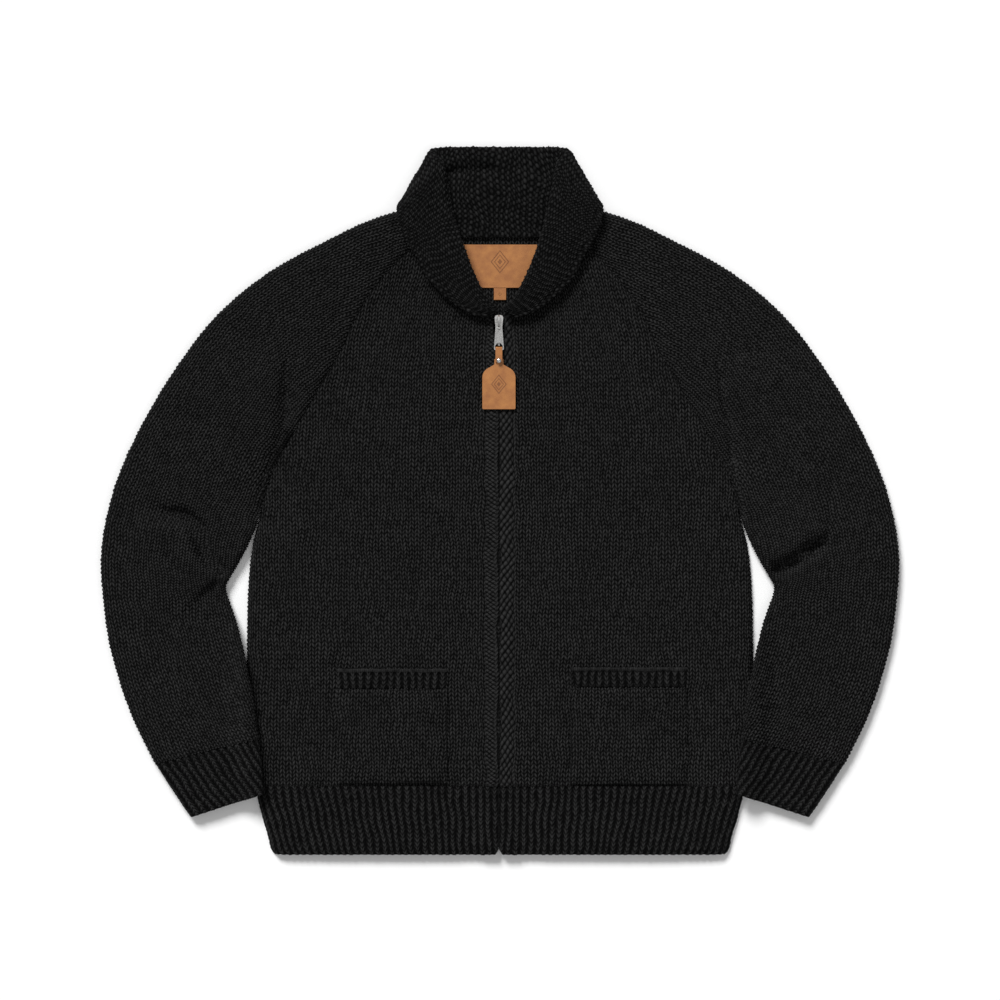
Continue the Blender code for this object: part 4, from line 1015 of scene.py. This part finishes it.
def teethTree():
    # Geometry nodes that set cast teeth along the zip, turn about from one tape to the other.
    tree = bpy.data.node_groups.new("zip teeth", "GeometryNodeTree")
    put = partial(add, tree)
    addSockets(tree, [("Count", "Int"), ("Pitch", "Float"), ("Shift", "Float"), ("Start", "Vector"),
                      ("Tooth", "Vector"), ("Metal", "Material")])
    given = put("NodeGroupInput").outputs
    step = put("ShaderNodeCombineXYZ", {1: given["Pitch"]})
    line = put("GeometryNodeMeshLine", {"Count": given["Count"], "Start Location": given["Start"],
                                              "Offset": step})
    odd = put("MODULO", [put("GeometryNodeInputIndex"), 2.0])
    aside = put("MULTIPLY", [put("MULTIPLY_ADD", [odd, 2.0, -1.0]), given["Shift"]])
    moved = put("GeometryNodeSetPosition", {"Geometry": line,
                                                  "Offset": put("ShaderNodeCombineXYZ", [aside])})
    tooth = put("GeometryNodeMeshCube", {"Size": given["Tooth"]})
    placed = put("GeometryNodeInstanceOnPoints", {"Points": moved, "Instance": tooth})
    real = put("GeometryNodeRealizeInstances", [placed])
    cast = put("GeometryNodeSetMaterial", {"Geometry": real, "Material": given["Metal"]})
    put("NodeGroupOutput", [cast])
    return tree


teeth = intoScene("zip_teeth", bpy.data.meshes.new("zip_teeth"))
throughNodes(teeth, teethTree(), {
    "Count": int((zipTeeth["end"] - zipTeeth["start"]) / zipTeeth["pitch"]),
    "Pitch": zipTeeth["pitch"] * mm, "Shift": zipTeeth["shift"] * mm,
    "Start": (garment["centreX"] * mm, zipTeeth["start"] * mm, zipTeeth["level"] * mm),
    "Tooth": (zipTeeth["length"] * mm, zipTeeth["wide"] * mm, zipTeeth["thick"] * mm), "Metal": plate})
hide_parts("zip_chain")
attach(teeth, "garment")
print("zip teeth set", len(teeth.data.polygons), "faces")

studio = {"floor": "#FFFFFF", "distance": 4000.0, "width": 1100.0, "world": 0.3, "key": 3.3, "fill": 0.35,
          "softness": 22.0}
floorMesh = bpy.data.meshes.new("floor")
floorMesh.from_pydata([(-6, -6, 0), (6, -6, 0), (6, 6, 0), (-6, 6, 0)], [], [(0, 1, 2, 3)])
floor = intoScene("floor", floorMesh)
paper = newMaterial("white studio paper", Base_Color=linear(studio["floor"]), Roughness=0.9)[0]
floorMesh.materials.append(paper)

bpy.context.scene.view_settings.view_transform = "Standard"
world = bpy.data.worlds.new("studio")
bpy.context.scene.world = world
world.use_nodes = True
world.node_tree.nodes["Background"].inputs[0].default_value = (1, 1, 1, 1)
world.node_tree.nodes["Background"].inputs[1].default_value = studio["world"]


def softLight(name, toward, angle, strength):
    # A far, broad light, so that the floor is lit evenly.
    lamp = bpy.data.lights.new(name, "SUN")
    lamp.angle, lamp.energy = math.radians(angle), strength
    intoScene(name, lamp).rotation_euler = Vector(toward).to_track_quat("-Z", "Y").to_euler()


softLight("key", (0.45, -1.0, -0.86), studio["softness"], studio["key"])
softLight("fill", (-0.3, 0.5, -1.6), 60.0, studio["fill"])

camera = bpy.data.cameras.new("camera")
camera.sensor_width = 36.0
camera.lens = 36.0 * studio["distance"] / studio["width"]
camera.clip_end = 100.0
cameraObject = intoScene("camera", camera)
cameraObject.location = (0, 0, studio["distance"] * mm)
bpy.context.scene.camera = cameraObject
